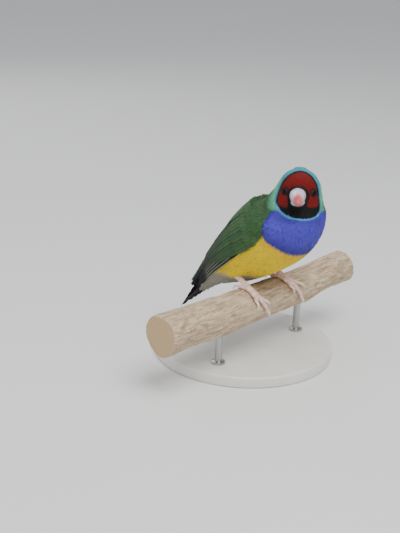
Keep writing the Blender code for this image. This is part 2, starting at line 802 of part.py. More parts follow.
torso = cut_at(body_loft("torso", TAIL_AT, NECK_AT + OVERRUN, 26, 36, wing_bed=True), NECK_AT, -1)
paint(torso, "plumage", YELLOW)
neck = cut_at(body_loft("neck", NECK_AT - OVERRUN, HEAD_AT + OVERRUN, 9, 30), NECK_AT, 1)
paint(cut_at(neck, HEAD_AT, -1), "plumage", PURPLE)
paint(head(), "plumage", RED)
paint(bill_upper(), "horn", PEARL)
paint(bill("bill_lower", LOWER_BILL), "horn", PEARL)
for wing_label, wing_side in (("left", 1), ("right", -1)):
    paint(wing(wing_side, wing_label), "plumage", GREEN)
paint(tail(), "plumage", BLACK)
for foot_label, foot_form in FEET.items():
    paint(leg(foot_label, foot_form), "skin", PINK)
paint(perch(), "bark", BARK)
stand()

for made_part in PARTS.objects:
    made_part.data.shade_smooth()
    made_part.data.set_sharp_from_angle(angle=math.radians(40))
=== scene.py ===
import math

import bmesh
import bpy
import numpy as np
from bpy.props import FloatProperty, FloatVectorProperty, IntProperty, PointerProperty
from mathutils import Matrix, Vector, noise
from mathutils.bvhtree import BVHTree


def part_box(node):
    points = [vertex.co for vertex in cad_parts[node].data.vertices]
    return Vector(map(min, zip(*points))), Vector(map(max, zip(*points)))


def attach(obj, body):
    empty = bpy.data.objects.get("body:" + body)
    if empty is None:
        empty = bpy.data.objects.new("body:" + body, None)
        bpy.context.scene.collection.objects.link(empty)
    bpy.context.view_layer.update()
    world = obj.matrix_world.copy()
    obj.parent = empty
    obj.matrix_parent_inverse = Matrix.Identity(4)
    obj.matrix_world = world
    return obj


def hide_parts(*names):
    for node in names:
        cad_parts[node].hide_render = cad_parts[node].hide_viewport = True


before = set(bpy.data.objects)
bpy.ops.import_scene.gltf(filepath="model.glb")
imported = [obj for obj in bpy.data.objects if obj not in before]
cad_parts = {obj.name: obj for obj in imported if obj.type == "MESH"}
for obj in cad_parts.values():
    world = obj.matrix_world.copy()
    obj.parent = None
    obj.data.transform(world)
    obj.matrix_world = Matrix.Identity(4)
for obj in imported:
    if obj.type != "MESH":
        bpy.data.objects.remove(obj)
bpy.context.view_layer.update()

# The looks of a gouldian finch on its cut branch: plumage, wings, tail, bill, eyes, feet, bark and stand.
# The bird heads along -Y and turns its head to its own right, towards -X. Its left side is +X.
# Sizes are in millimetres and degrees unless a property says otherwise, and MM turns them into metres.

bl_info = {
    "name": "Gouldian finch",
    "version": (1, 0, 0),
    "blender": (4, 5, 0),
    "location": "3D View > Sidebar > Finch",
    "description": "A life-size gouldian finch with its feathers, on a branch and a plain stand",
    "category": "Object",
}

MM = 0.001

# Body sections from the tail's tip to the shoulders:
# y, z, tilt of the section's normal above the heading, half width, reach to the back, reach to the belly
BODY_SECTIONS = (
    (37.3, 10.9, 50, 2.3, 1.7, 1.7),
    (28.8, 21.9, 48, 4.2, 2.8, 3.2),
    (20.8, 31.7, 44, 6.2, 4.2, 6.2),
    (13.8, 38.5, 40, 9.5, 6.6, 10.0),
    (3.8, 46.3, 38, 14.0, 10.4, 13.8),
    (-8.0, 54.9, 38, 16.2, 14.8, 15.6),
    (-17.5, 61.3, 48, 16.2, 17.0, 15.1),
    (-22.8, 67.2, 73, 14.8, 17.0, 13.7),
)

# Head sections along the head's own axis:
# height above its middle, half width, reach to the back, reach to the face, share of turn, share of tilt
HEAD_SECTIONS = (
    (-7.0, 12.0, 17.0, 9.8, 0.72, -0.85),
    (-3.6, 10.5, 13.8, 9.3, 0.94, -0.4),
    (0.6, 9.6, 11.6, 9.2, 1.0, 0.5),
    (4.7, 8.6, 10.2, 7.9, 1.0, 1.0),
    (8.3, 6.1, 7.5, 5.4, 1.0, 1.0),
    (10.5, 2.6, 3.4, 2.1, 1.0, 1.0),
)
HEAD_MIDDLE = np.array([0.0, -25.4, 78.7])
HEAD_TURN = -52.0
HEAD_TILT = 14.0
CROWN_RISE = 0.6
NAPE_FULL = 3.0
NAPE_AT = (9.0, -75.0)
NAPE_REACH = (2.0, 60.0)
BED_DEPTH = 1.6
BED_ALONG = (1.9, 7.0)
BED_ROUND = (0.0, 118.0)
BED_SLOPE = 11.0
BREAST_SWELL = 0.9
SHOULDER_RISE = 1.35
SHOULDER_AT = (7.45, 1.0)
THIGH_FULL = 1.7
THIGH_AT = (4.05, 130.0)
THIGH_REACH = (0.62, 17.0)
MANTLE_RISE = 1.2
MANTLE_ALONG = (3.3, 7.2)
MANTLE_SLOPES = (1.2, 0.8)
MANTLE_ROUND = 9.0

# Places along the sections
TAIL_AT = 1.6
SKIN_FROM = 1.15
FORM_FROM = 0.3
CROWN_AT = 13.0
CROWN_END = 13.98

# The wing: each tier's count, the places of its roots and tips (at the upper end, and what its share and the
# share's cube add towards the lower edge), their angles round the body, half width, lift at root and tip, how
# late that lift comes, how much lower each tip lies than the one above it, and the slope across each feather
WING_TIERS = (
    dict(kind="primary", count=8, root=(5.1, 0.0, 0.0), tip=(2.35, -0.75, 0.0), round_root=(72, 97),
         round_tip=(60, 105), half=1.2, lift=(0.1, 1.55), late=0.6, stack=0.09, slope=0.16),
    dict(kind="secondary", count=10, root=(5.5, -0.2, -0.1), tip=(2.75, 0.75, 0.2), round_root=(36, 95),
         round_tip=(30, 88), half=1.7, lift=(0.1, 1.7), late=0.5, stack=0.05, slope=0.12),
    dict(kind="covert", count=11, root=(5.95, -0.2, -0.15), tip=(4.75, 0.0, 0.05), round_root=(32, 95),
         round_tip=(33, 96), half=1.5, lift=(0.1, 1.22), late=0.5, stack=0.015, slope=0.09),
    dict(kind="covert", count=13, root=(6.35, -0.3, -0.2), tip=(5.45, -0.1, -0.05), round_root=(30, 94),
         round_tip=(30, 96), half=1.3, lift=(0.05, 1.12), late=0.5, stack=0.01, slope=0.08),
    dict(kind="lesser", count=15, root=(6.55, -0.35, -0.25), tip=(5.95, -0.2, -0.1), round_root=(27, 93),
         round_tip=(28, 96), half=1.1, lift=(0.0, 0.98), late=0.55, stack=0.0, slope=0.07),
    dict(kind="lesser", count=16, root=(6.75, -0.42, -0.3), tip=(6.2, -0.3, -0.2), round_root=(25, 92),
         round_tip=(26, 95), half=1.05, lift=(-0.1, 0.88), late=0.55, stack=0.0, slope=0.07),
    dict(kind="lesser", count=17, root=(6.92, -0.48, -0.35), tip=(6.42, -0.38, -0.25), round_root=(23, 91),
         round_tip=(24, 94), half=1.0, lift=(-0.6, 0.72), late=0.7, stack=0.0, slope=0.07),
    dict(kind="lesser", count=18, root=(7.08, -0.52, -0.38), tip=(6.62, -0.44, -0.3), round_root=(21, 90),
         round_tip=(22, 93), half=0.95, lift=(-0.9, 0.5), late=0.8, stack=0.0, slope=0.07),
    dict(kind="tertial", count=3, root=(5.4, -0.1, 0.0), tip=(3.6, -0.1, 0.0), round_root=(26, 42),
         round_tip=(18, 34), half=2.0, lift=(0.1, 1.5), late=0.5, stack=0.0, slope=0.12),
    dict(kind="scapular", count=6, root=(6.2, -0.1, 0.0), tip=(4.6, -0.1, 0.0), round_root=(16, 42),
         round_tip=(12, 35), half=1.5, lift=(0.1, 1.6), late=0.5, stack=0.0, slope=0.08),
    dict(kind="scapular", count=7, root=(6.5, -0.1, 0.0), tip=(5.3, -0.1, 0.0), round_root=(13, 41),
         round_tip=(11, 37), half=1.3, lift=(0.0, 1.45), late=0.5, stack=0.0, slope=0.07),
    dict(kind="scapular", count=8, root=(6.75, -0.12, 0.0), tip=(5.85, -0.1, 0.0), round_root=(11, 40),
         round_tip=(10, 38), half=1.1, lift=(-0.2, 1.5), late=0.6, stack=0.0, slope=0.06),
    dict(kind="scapular", count=9, root=(6.86, -0.14, 0.0), tip=(6.3, -0.12, 0.0), round_root=(10, 39),
         round_tip=(9, 38), half=0.95, lift=(-0.4, 1.4), late=0.7, stack=0.0, slope=0.05),
)

# Vanes: their points across, half the shaft's width, where each kind's tip starts to round, and their rows
VANE_COLUMNS = np.array([-1.0, -0.7, -0.4, -0.15, -0.04, 0.04, 0.15, 0.4, 0.7, 1.0])
VANE_EDGE = 0.9
SHAFT_HALF = 0.07
ROUND_TIPS = dict(
    primary=0.9, secondary=0.86, covert=0.72, lesser=0.66, tertial=0.84, scapular=0.74, tail=0.92)
LONG_KINDS = ("primary", "secondary", "tertial")
LONG_ROWS = 26
SHORT_ROWS = 14
TAIL_ROWS = 34
WING_MAP = 12
TAIL_MAP = 4

# Small feathers: places, and their spacing, length and half width there, then the same three on the face
COAT_STOPS = (1.5, 3.0, 5.0, 6.5, 7.5, 8.7, 10.0, 13.0)
COAT_SPACING = (0.80, 0.80, 0.76, 0.66, 0.58, 0.50, 0.44, 0.42)
COAT_LENGTH = (4.6, 4.4, 3.9, 3.3, 2.8, 2.3, 1.9, 1.7)
COAT_HALF = (0.58, 0.58, 0.55, 0.47, 0.42, 0.36, 0.30, 0.27)
COAT_ON_FACE = (0.34, 1.05, 0.21)

# How far their tips stand out at more places, their widths along them, their arch, and where none grow
TIP_STOPS = (1.5, 3.5, 5.0, 8.0, 13.0)
TIP_RISE = (0.34, 0.24, 0.12, 0.07, 0.05)
COAT_WIDTHS = {5: (0.5, 0.9, 1.0, 0.8, 0.0), 4: (0.6, 1.0, 0.85, 0.0)}
COAT_ARCH = 0.12
UNDER_WING_TOP = 34
UNDER_WING_REAR = 2.7
UNDER_WING_FRONT = (6.34, 0.12)
UNDER_WING_STOPS = (2.7, 4.0, 5.0, 6.6)
UNDER_WING_ROUND = (92, 94, 88, 84)
UNDER_BILL_HALF = (3.5, 4.3)
UNDER_BILL_RISE = 1.4

# The coat's pieces: name, first and last place, and slot
COAT_PIECES = (
    ("plumage_head", 9.4, 14.0, "plumage_head"),
    ("plumage_throat", 7.9, 9.4, "plumage_head"),
    ("plumage_breast", 6.1, 7.9, "plumage_body"),
    ("plumage_belly", 4.3, 6.1, "plumage_body"),
    ("plumage_rear", 1.6, 4.3, "plumage_body"),
)

# Grids: places along the body, places over the crown, angles round it
FORM_GRID = (230, 8, 180)
SKIN_GRID = (170, 6, 144)

# Each tuft's patch on its baking map, and the map's share that is used
TUFT_PATCH = 0.003
MAP_FILL = 0.97
MAP_MARGIN = 0.015

# Where the colours change: places along the body, and degrees from the middle of the back
YELLOW_ROUND = 96
YELLOW_UPTO = 6.95
WARM_FROM = 5.95
RUMP_ROUND = 31
RUMP_UPTO = 3.4
VENT_UPTO = 3.1
DARK_UPTO = 3.6
BREAST_LOW = 6.2
BREAST_HIGH = 7.2
NAPE_ROUND = 128
RING_EDGE = 1.07
RED_EDGE = 0.925
CHIN_HEIGHT = -5.35

# Tail, laid out as the solid one is
TAIL_PAIRS = 6
TAIL_LONGEST = 22.5
TAIL_STEP = 2.6
TAIL_FIRST_STEP = 1.2
TAIL_HALF = 1.75
TAIL_SPREAD = 0.62
TAIL_LAYER = 0.62
TAIL_TOP = 1.9
TAIL_ROOF = 0.3
TAIL_SLOPE = 55.0

# Bill and eyes
BILL_SINK = 1.4
BILL_HEIGHT = -2.6
BILL_SHIFT = -0.5
BILL_OUT = 8.4
BILL_PITCH = 9.0
BILL_ROLL = -4.0
BILL_GAPE = 0.05
UPPER_BILL = dict(length=10.4, half=3.95, rise=4.95, droop=0.7, arch=0.85, pinch=0.3)
LOWER_BILL = dict(length=9.1, half=2.85, rise=-2.35, droop=0.45, arch=0.6, pinch=0.0)
NOSTRIL = (1.5, 2.35, 4.05)
NOSTRIL_RADIUS = 0.5
NOSTRIL_DEPTH = 0.55
BILL_ARC = 41
BILL_ROWS = 40

# The mask's outline on the face, in degrees from the way the head faces
MASK_MIDDLE = (-4.2, -22.1)
MASK_ROLL = -6.7
MASK_HALF = 59.5
MASK_UP = 93.0
MASK_DOWN = 25.7
MASK_ROUND = (1.6, 2.5)
MASK_TAPER = -0.28
MASK_CHEEK = 0.07
EYE_RADIUS = 1.9
EYE_HEIGHT = 0.6
EYE_SIDE = 5.45
EYE_OUT = 6.1
EYE_SUNK = 0.72
EYE_BARE = 1.3
EYE_FACING = 54.0
LID_RADIUS = 1.97
LID_OPENING = (37.0, 31.0)

# Branch and feet
PERCH_HALF = 62.0
PERCH_Y = -9.0
PERCH_TOP = 35.0
PERCH_RADIUS = 8.05
PERCH_TAPER = 0.011
PERCH_STRAIGHT = 20.0
PERCH_BEND = 0.8
PERCH_RISE = 1.2
PERCH_BLEND = 8.0
PERCH_KNOTS = (0.28, 0.22)
BARK_SIDES = 150
BARK_ROWS = 300
BARK_INSET = (0.35, 0.7, 0.96)
BARK_SINK = 0.12
FEET = {
    "right": dict(
        x=-12.3, round=-40.0, heel=(-10.4, 0.0, 39.6),
        toes=dict(inner=(4.2, -62.0), middle=(6.0, -97.0), outer=(-0.6, -60.0), hind=(-0.8, 16.0)),
    ),
    "left": dict(
        x=11.2, round=-27.0, heel=(10.2, 1.1, 41.0),
        toes=dict(inner=(0.8, -55.0), middle=(7.0, -99.0), outer=(5.4, -49.0), hind=(-1.4, 20.0)),
    ),
}
TARSUS_RADII = (1.35, 1.1, 1.15, 1.4)
TARSUS_BEND = 0.7
PAD_LIFT = 1.25
TOE_RADII = (1.05, 0.95, 0.95, 0.8, 0.85, 0.7)
CLAW_RADII = (0.62, 0.5, 0.34, 0.12)
CLAW_ROUND = 19.0
CLAW_ARCH = 0.6
PAD_SHAPE = (1.9, 2.0, 1.15)
FUSE_VOXEL = 0.11
TOE_SCUTES = 0.62
TARSUS_SCUTES = 0.95
GAP = 0.3

# Stand
BASE_EDGE = 0.9
COLLAR_HEIGHTS = (0.9, 1.3)
COLLAR_WIDER = 1.9

# The photograph's camera, set from the middle of the grip
GRIP = Vector((0.004, -0.009, 0.035))
GRIP_PIXEL = (268.0, 280.5)
IMAGE_SIZE = (400.0, 533.0)
LIGHT_TARGET = Vector((0.0, -0.01, 0.055))
SENSOR_WIDTH = 36.0


def tint(red, green, blue):
    """A screen colour, 0 to 255, as the linear colour that a shader takes."""
    made = []
    for value in (red, green, blue):
        share = value / 255
        made.append(share / 12.92 if share <= 0.04045 else ((share + 0.055) / 1.055) ** 2.4)
    return tuple(made)


def colour_property(name, description, screen):
    return FloatVectorProperty(
        name=name, description=description, subtype="COLOR", size=3, min=0.0, max=1.0, default=tint(*screen))


class FinchColours(bpy.types.PropertyGroup):
    mask: colour_property("Mask", "Red of the face", (116, 15, 14))
    line: colour_property("Line", "Black of the mask's edge and the chin", (14, 14, 15))
    ring: colour_property("Ring", "Sky blue round the mask", (66, 142, 156))
    ring_low: colour_property("Lower ring", "Brighter blue under the chin", (84, 170, 222))
    nape: colour_property("Nape", "Sea green behind the ring", (96, 178, 144))
    back: colour_property("Back", "Green of the back and wings", (54, 86, 50))
    shade: colour_property("Wing tips", "Dark olive of the flight feathers", (26, 36, 14))
    edge: colour_property("Feather edge", "Pale edge of the flight feathers", (176, 184, 150))
    breast: colour_property("Breast", "Purple of the breast", (74, 66, 180))
    belly: colour_property("Belly", "Yellow of the belly", (228, 196, 0))
    flank: colour_property("Flank", "Orange yellow next to the breast", (222, 172, 0))
    vent: colour_property("Vent", "Grey white under the tail", (148, 145, 134))
    rump: colour_property("Rump", "Pale blue above the tail", (112, 176, 190))
    tail: colour_property("Tail", "Black of the tail", (20, 22, 25))
    bill: colour_property("Bill", "Pearl of the bill", (206, 194, 206))
    bill_tip: colour_property("Bill tip", "Red of the bill's tip", (196, 34, 52))
    leg: colour_property("Legs", "Pink of the legs", (238, 208, 196))
    claw: colour_property("Claws", "Cream of the claws", (242, 234, 214))
    eye: colour_property("Eyes", "Dark brown of the eyes", (18, 9, 6))
    lid: colour_property("Lids", "Bare skin round the eyes", (34, 16, 14))
    bark: colour_property("Bark", "Tan of the branch", (206, 184, 154))
    grain: colour_property("Grain", "Darker grain of the branch", (148, 122, 94))
    stand: colour_property("Stand", "Lacquer of the base", (222, 220, 214))
    floor: colour_property("Floor", "Floor and backdrop", (226, 226, 224))


class FinchSizes(bpy.types.PropertyGroup):
    coat_depth: FloatProperty(
        name="Coat depth", description="From the coat's face down to the skin", default=0.0005,
        min=0.0001, max=0.002, unit="LENGTH", subtype="DISTANCE")
    coat_density: FloatProperty(
        name="Coat density", description="Count of small feathers against the usual one", default=1.0,
        min=0.2, max=2.0, subtype="FACTOR")
    vane_thickness: FloatProperty(
        name="Vane thickness", description="Thickness of a flight feather", default=0.00011,
        min=0.00005, max=0.0005, unit="LENGTH", subtype="DISTANCE")
    barbs: FloatProperty(
        name="Barbs", description="Depth of the barbs in the feathers' relief", default=0.3,
        min=0.0, max=1.0, subtype="FACTOR")
    bark_relief: FloatProperty(
        name="Bark relief", description="Depth of the bark's grain", default=0.00026,
        min=0.0, max=0.001, unit="LENGTH", subtype="DISTANCE")
    scute_relief: FloatProperty(
        name="Scute relief", description="Height of the scutes on the feet", default=0.00009,
        min=0.0, max=0.0003, unit="LENGTH", subtype="DISTANCE")
    seed: IntProperty(name="Seed", description="Start of the random draws", default=7, min=0)


class FinchStage(bpy.types.PropertyGroup):
    azimuth: FloatProperty(
        name="Azimuth", description="Camera's turn about the bird", subtype="ANGLE",
        default=math.radians(-52.0))
    elevation: FloatProperty(
        name="Elevation", description="Camera's height angle", subtype="ANGLE",
        default=math.radians(20.0))
    roll: FloatProperty(name="Roll", description="Camera's roll", default=math.radians(3.6), subtype="ANGLE")
    distance: FloatProperty(
        name="Distance", description="Camera to the grip", default=0.445, unit="LENGTH", subtype="DISTANCE")
    focal_pixels: FloatProperty(
        name="Focal length", description="Focal length in pixels of the long side", default=1008.0)
    key_power: FloatProperty(name="Key light", description="Power of the key light in watts", default=6.2)
    fill_power: FloatProperty(name="Fill light", description="Power of the fill light in watts", default=1.7)
    rim_power: FloatProperty(name="Back light", description="Power of the back light in watts", default=1.0)
    ambient: FloatProperty(name="Ambient", description="Strength of the even light", default=0.62)


def colours():
    return bpy.context.scene.finch_colours


def sizes():
    return bpy.context.scene.finch_sizes


def in_mm(metres):
    return metres / MM


def smooth(value):
    """0 below 0, 1 above 1, and a smooth step between."""
    value = np.clip(value, 0.0, 1.0)
    return value * value * (3 - 2 * value)


def blend_colours(first, second, share):
    return first + (second - first) * share[..., None]


# The body's form

def head_axes():
    """The head's side, its own upward axis and the way it faces."""
    turn = math.radians(HEAD_TURN)
    tilt = math.radians(HEAD_TILT)
    ahead = np.array([math.sin(turn), -math.cos(turn), 0.0])
    up = np.array([0.0, 0.0, 1.0])
    side = np.array([math.cos(turn), math.sin(turn), 0.0])
    return side, up * math.cos(tilt) - ahead * math.sin(tilt), ahead * math.cos(tilt) + up * math.sin(tilt)


HEAD_SIDE, HEAD_UP, HEAD_FACING = head_axes()


def all_sections():
    """One row for each section: middle, turn, tilt, half width, reach to the back and to the front."""
    rows = [(0.0, y, z, 0.0, tilt, half, back, front) for y, z, tilt, half, back, front in BODY_SECTIONS]
    for height, half, back, front, turn_share, tilt_share in HEAD_SECTIONS:
        middle = HEAD_MIDDLE + HEAD_UP * height
        rows.append((*middle, HEAD_TURN * turn_share, 90 + HEAD_TILT * tilt_share, half, back, front))
    return np.array(rows)


SECTIONS = all_sections()
LAST = len(SECTIONS) - 1
SLOPES = np.array([
    (SECTIONS[min(i + 1, LAST)] - SECTIONS[max(i - 1, 0)]) / (min(i + 1, LAST) - max(i - 1, 0))
    for i in range(LAST + 1)
])


def section(place):
    """The rows at places between the sections, on a smooth curve through them."""
    place = np.clip(np.asarray(place, float), 0, LAST)
    index = np.minimum(place.astype(int), LAST - 1)
    u = (place - index)[..., None]
    return (
        (2 * u**3 - 3 * u**2 + 1) * SECTIONS[index]
        + (u**3 - 2 * u**2 + u) * SLOPES[index]
        + (3 * u**2 - 2 * u**3) * SECTIONS[index + 1]
        + (u**3 - u**2) * SLOPES[index + 1]
    )


def section_axes(row):
    """The sections' normals, their sides and their ways to the back."""
    turn = np.radians(row[..., 3])
    tilt = np.radians(row[..., 4])
    level = np.zeros_like(turn)
    ahead = np.stack([np.sin(turn), -np.cos(turn), level], -1)
    side = np.stack([np.cos(turn), np.sin(turn), level], -1)
    up = np.array([0.0, 0.0, 1.0])
    normal = ahead * np.cos(tilt)[..., None] + up * np.sin(tilt)[..., None]
    return normal, side, up * np.cos(tilt)[..., None] - ahead * np.sin(tilt)[..., None]


def round_from(angle, middle):
    """How far an angle is from another, either way round."""
    return np.abs((angle - middle + 180) % 360 - 180)


def nape(place, angle):
    """How far the bunched feathers of the turned neck stand out."""
    along = 1 - smooth(np.abs(place - NAPE_AT[0]) / NAPE_REACH[0])
    return NAPE_FULL * along * (1 - smooth(round_from(angle, NAPE_AT[1]) / NAPE_REACH[1]))


def body(place, angle, lift=0.0):
    """Points on the body: angle 0 is the middle of the back, 90 the left side, 180 the belly."""
    place, angle = np.broadcast_arrays(np.asarray(place, float), np.asarray(angle, float))
    row = section(place)
    normal, side, back = section_axes(row)
    lift = lift + nape(place, angle)
    over = np.clip((place - CROWN_AT), 0, 1) * math.pi / 2
    turn = np.radians(angle)
    reach = np.where(np.cos(turn) > 0, row[..., 6], row[..., 7])
    out = (row[..., 5] + lift) * np.cos(over)
    deep = (reach + lift) * np.cos(over)
    top = (CROWN_RISE + lift) * np.sin(over)
    return (
        row[..., :3]
        + side * (out * np.sin(turn))[..., None]
        + back * (deep * np.cos(turn))[..., None]
        + normal * top[..., None]
    )


def bed(place, angle):
    """How much lower the torso lies under the folded wing."""
    away = round_from(angle, 0.0)
    along = smooth((place - BED_ALONG[0]) / 0.7) * smooth((BED_ALONG[1] - place) / 0.25)
    across = smooth((away - BED_ROUND[0]) / BED_SLOPE) * smooth((BED_ROUND[1] - away) / BED_SLOPE)
    return BED_DEPTH * along * across


def thigh(place, angle):
    """How far the feathers stand out over the top of each leg."""
    away = round_from(angle, 0.0)
    gone = np.hypot((place - THIGH_AT[0]) / THIGH_REACH[0], (away - THIGH_AT[1]) / THIGH_REACH[1])
    return THIGH_FULL * (1 - smooth(gone))


def shoulder(place, angle):
    """How far the neck's feathers rise over the front rows of the wings."""
    away = round_from(angle, 0.0)
    along = smooth((SHOULDER_AT[0] - place) / SHOULDER_AT[1])
    return SHOULDER_RISE * along * smooth((away - 3) / 10) * smooth((95 - away) / 14)


def breast_swell(place, angle):
    """How far the breast's feathers stand over the wing's front edge."""
    away = round_from(angle, 0.0)
    front = 6.55 - 0.45 * smooth((away - 80) / 20)
    along = smooth((place - front) / 0.2) * smooth((7.7 - place) / 0.8)
    return BREAST_SWELL * along * smooth((away - 76) / 8) * smooth((122 - away) / 18)


def mantle(place, angle):
    """How much higher the back stands between the wings."""
    starts = smooth((place - MANTLE_ALONG[0]) / MANTLE_SLOPES[0])
    ends = smooth((MANTLE_ALONG[1] - place) / MANTLE_SLOPES[1])
    return MANTLE_RISE * starts * ends * (1 - smooth(round_from(angle, 0.0) / MANTLE_ROUND))


def eye_middle(sign):
    """The middle of the left (1) or right (-1) eyeball, a little under the lids' own place."""
    out = HEAD_SIDE * sign * EYE_SIDE + HEAD_FACING * EYE_OUT
    return HEAD_MIDDLE + HEAD_UP * EYE_HEIGHT + out * (1 - EYE_SUNK / np.linalg.norm(out))


def eye_look(sign):
    """The way the left (1) or right (-1) eye looks."""
    facing = math.radians(EYE_FACING)
    return HEAD_SIDE * sign * math.sin(facing) + HEAD_FACING * math.cos(facing)


# Markings of the plumage

def mask_field(points):
    """1 on the mask's edge and less inside it, with the face's own x and y and the height on the mask."""
    away = points - HEAD_MIDDLE
    x, y, z = away @ HEAD_SIDE, away @ HEAD_UP, away @ HEAD_FACING
    turned = np.degrees(np.arctan2(np.hypot(x, y), z))
    flat = np.hypot(x, y) + 1e-9
    across = turned * x / flat - MASK_MIDDLE[0]
    high = turned * y / flat - MASK_MIDDLE[1]
    roll = math.radians(MASK_ROLL)
    u = across * math.cos(roll) + high * math.sin(roll)
    v = high * math.cos(roll) - across * math.sin(roll)
    half = MASK_HALF * (1 - MASK_TAPER * v / 60)
    half = half * (1 + MASK_CHEEK * np.exp(-(((v + 6) / 20) ** 2)) * (u > 0))
    power = np.where(v > 0, MASK_ROUND[0], MASK_ROUND[1])
    reach = np.where(v > 0, MASK_UP, MASK_DOWN)
    field = ((np.abs(u) / half) ** power + (np.abs(v) / reach) ** power) ** (1 / power)
    return field, x, y, v


def edge_step(value, width):
    """0 to 1 over the width, half way at 0."""
    return smooth(value / width + 0.5)


def markings(points, place, angle):
    """The plumage's colours at points on the body or just off it."""
    c = colours()
    names = "mask line ring ring_low nape back breast belly flank vent rump tail".split()
    pick = {name: np.array(getattr(c, name)) for name in names}
    away = round_from(angle, 0.0)
    field, x, y, high = mask_field(points)

    # Green above, yellow below, each side of the wing's lower edge, and warmer next to the breast
    colour = np.broadcast_to(pick["back"], points.shape).copy()
    under = edge_step(away - YELLOW_ROUND, 7) * edge_step(YELLOW_UPTO - place, 0.3)
    colour = blend_colours(colour, pick["belly"], under)
    warm = 0.75 * edge_step(place - WARM_FROM, 0.9) * under
    colour = blend_colours(colour, pick["flank"], warm)

    # Pale blue rump, black beside the tail's root, and grey-white vent
    rump = edge_step(RUMP_ROUND - away, 9) * edge_step(RUMP_UPTO - place, 0.5)
    colour = blend_colours(colour, pick["rump"], rump)
    beside = 101 + 13 * smooth((3.2 - place) / 1.6) + 26 * smooth((1.7 - place) / 0.9)
    vent_at = VENT_UPTO + 1.3 * smooth((away - 104) / 44)
    vent = edge_step(vent_at - place, 0.7) * edge_step(away - beside, 5)
    colour = blend_colours(colour, pick["vent"], vent)
    dark = edge_step(DARK_UPTO - place, 0.8) * edge_step(beside - away, 5) * edge_step(away - 50, 8)
    colour = blend_colours(colour, pick["tail"], dark)

    # Purple breast, from the ring down to the belly and round to the shoulders, darker towards its edges:
    # partly the breast's own darker border, partly painted shade on its lower and outer edges
    lower = BREAST_LOW + 0.75 * np.exp(-(away - 80) / 7.0)
    upper = BREAST_HIGH + 0.04 * (away - 81)
    inside = np.minimum(place - lower, upper - place) * 9.0
    violet = np.broadcast_to(pick["breast"], points.shape)
    # Darker violet near the breast's edges: partly its own border, partly painted shade
    violet = blend_colours(violet, pick["breast"] * 0.42, 0.8 * (1 - smooth(inside / 4.5)))
    colour = blend_colours(colour, violet, edge_step(inside, 0.7) * (away > 76))

    # The sky-blue ring and the sea-green nape behind it
    on_head = smooth((place - 7.6) / 0.4)
    ring = RING_EDGE + 0.03 * smooth((high + 15) / 30) + 0.16 * smooth((high - 45) / 40)
    low_side = edge_step(place - 8.35 - 0.012 * (away - 100), 0.35)
    nape_share = (1 - smooth((field - ring) / 0.45)) * edge_step(NAPE_ROUND - away, 12) * low_side
    nape_share = np.maximum(nape_share, smooth((place - 9.5) / 0.8) * (1 - smooth((field - ring) / 0.9)))
    colour = blend_colours(colour, pick["back"], smooth((place - 9.6) / 0.8) * (field > 1))
    colour = blend_colours(colour, pick["nape"], nape_share)
    blue = edge_step(ring - field, 0.035) * on_head
    colour = blend_colours(colour, pick["ring"], blue)
    colour = blend_colours(colour, pick["ring_low"], blue * smooth((-5.0 - high) / 15))

    # The black line, the red mask, the black chin and the black round the bill
    colour = blend_colours(colour, pick["line"], edge_step(1.0 - field, 0.025) * on_head)
    chin = CHIN_HEIGHT - 0.3 * smooth((np.abs(x) - 4.0) / 4.0) + 0.05 * x
    past_chin = edge_step(y - chin, 0.5)
    rounded = 0.16 * smooth((chin + 1.7 - y) / 1.7) ** 2
    bill_x, bill_y = x - BILL_SHIFT, y - BILL_HEIGHT
    beside_bill = np.maximum(edge_step(np.abs(bill_x) - 4.0, 0.4), edge_step(bill_y - 2.0, 0.5))
    off_bill = edge_step(np.hypot(bill_x / 4.55, (bill_y - 2.0) / 4.05) - 1, 0.09)
    red = edge_step(RED_EDGE - rounded - field, 0.03) * past_chin * beside_bill
    red = red * np.maximum(off_bill, bill_y < -0.5)
    colour = blend_colours(colour, pick["mask"], red * on_head)

    # Painted shade of the eye hollows: the feathers close round each eye, inside the mask, darkened towards
    # black
    for sign in (-1, 1):
        gone = np.linalg.norm(points - eye_middle(sign), axis=-1)
        near = 0.75 * (1 - smooth((gone - 2.0) / 0.9)) * (field < 1)
        colour = blend_colours(colour, pick["line"], near)
    return colour


# Meshes

def paint(mesh, colour):
    """Keeps a colour for each point as the mesh's marking."""
    layer = mesh.attributes.new("marking", "FLOAT_COLOR", "POINT")
    rgba = np.ones((len(mesh.vertices), 4), np.float32)
    rgba[:, :3] = colour
    layer.data.foreach_set("color", rgba.ravel())


class Batch:
    """Gathers points, faces, colours and maps of many small forms into one piece."""

    def __init__(self):
        self.points, self.colours, self.vane, self.bake, self.quads, self.tris = [], [], [], [], [], []
        self.count = 0

    def add(self, points, quads, tris, colour, vane, bake):
        """Points, colours and maps have one row for each point; faces count from this form's first point."""
        self.points.append(points)
        self.colours.append(np.broadcast_to(colour, points.shape))
        self.vane.append(vane)
        self.bake.append(bake)
        if len(quads):
            self.quads.append(np.asarray(quads) + self.count)
        if len(tris):
            self.tris.append(np.asarray(tris) + self.count)
        self.count += len(points)

    def build(self, name, sharp=60.0):
        points = np.concatenate(self.points) * MM
        faces = []
        for group in self.quads + self.tris:
            faces += group.tolist()
        mesh = bpy.data.meshes.new(name)
        mesh.from_pydata(points.tolist(), [], faces)
        corners = np.empty(len(mesh.loops), np.int32)
        mesh.loops.foreach_get("vertex_index", corners)
        for label, rows in (("OFBake", self.bake), ("vane", self.vane)):
            layer = mesh.uv_layers.new(name=label)
            layer.data.foreach_set("uv", np.concatenate(rows)[corners].astype(np.float32).ravel())
        paint(mesh, np.concatenate(self.colours))
        mesh.shade_smooth()
        mesh.set_sharp_from_angle(angle=math.radians(sharp))
        return place_object(name, mesh)


def place_object(name, mesh):
    made = bpy.data.objects.new(name, mesh)
    bpy.context.scene.collection.objects.link(made)
    return made


def deselect():
    for item in bpy.context.selected_objects:
        item.select_set(False)


def only(made):
    deselect()
    made.select_set(True)
    bpy.context.view_layer.objects.active = made


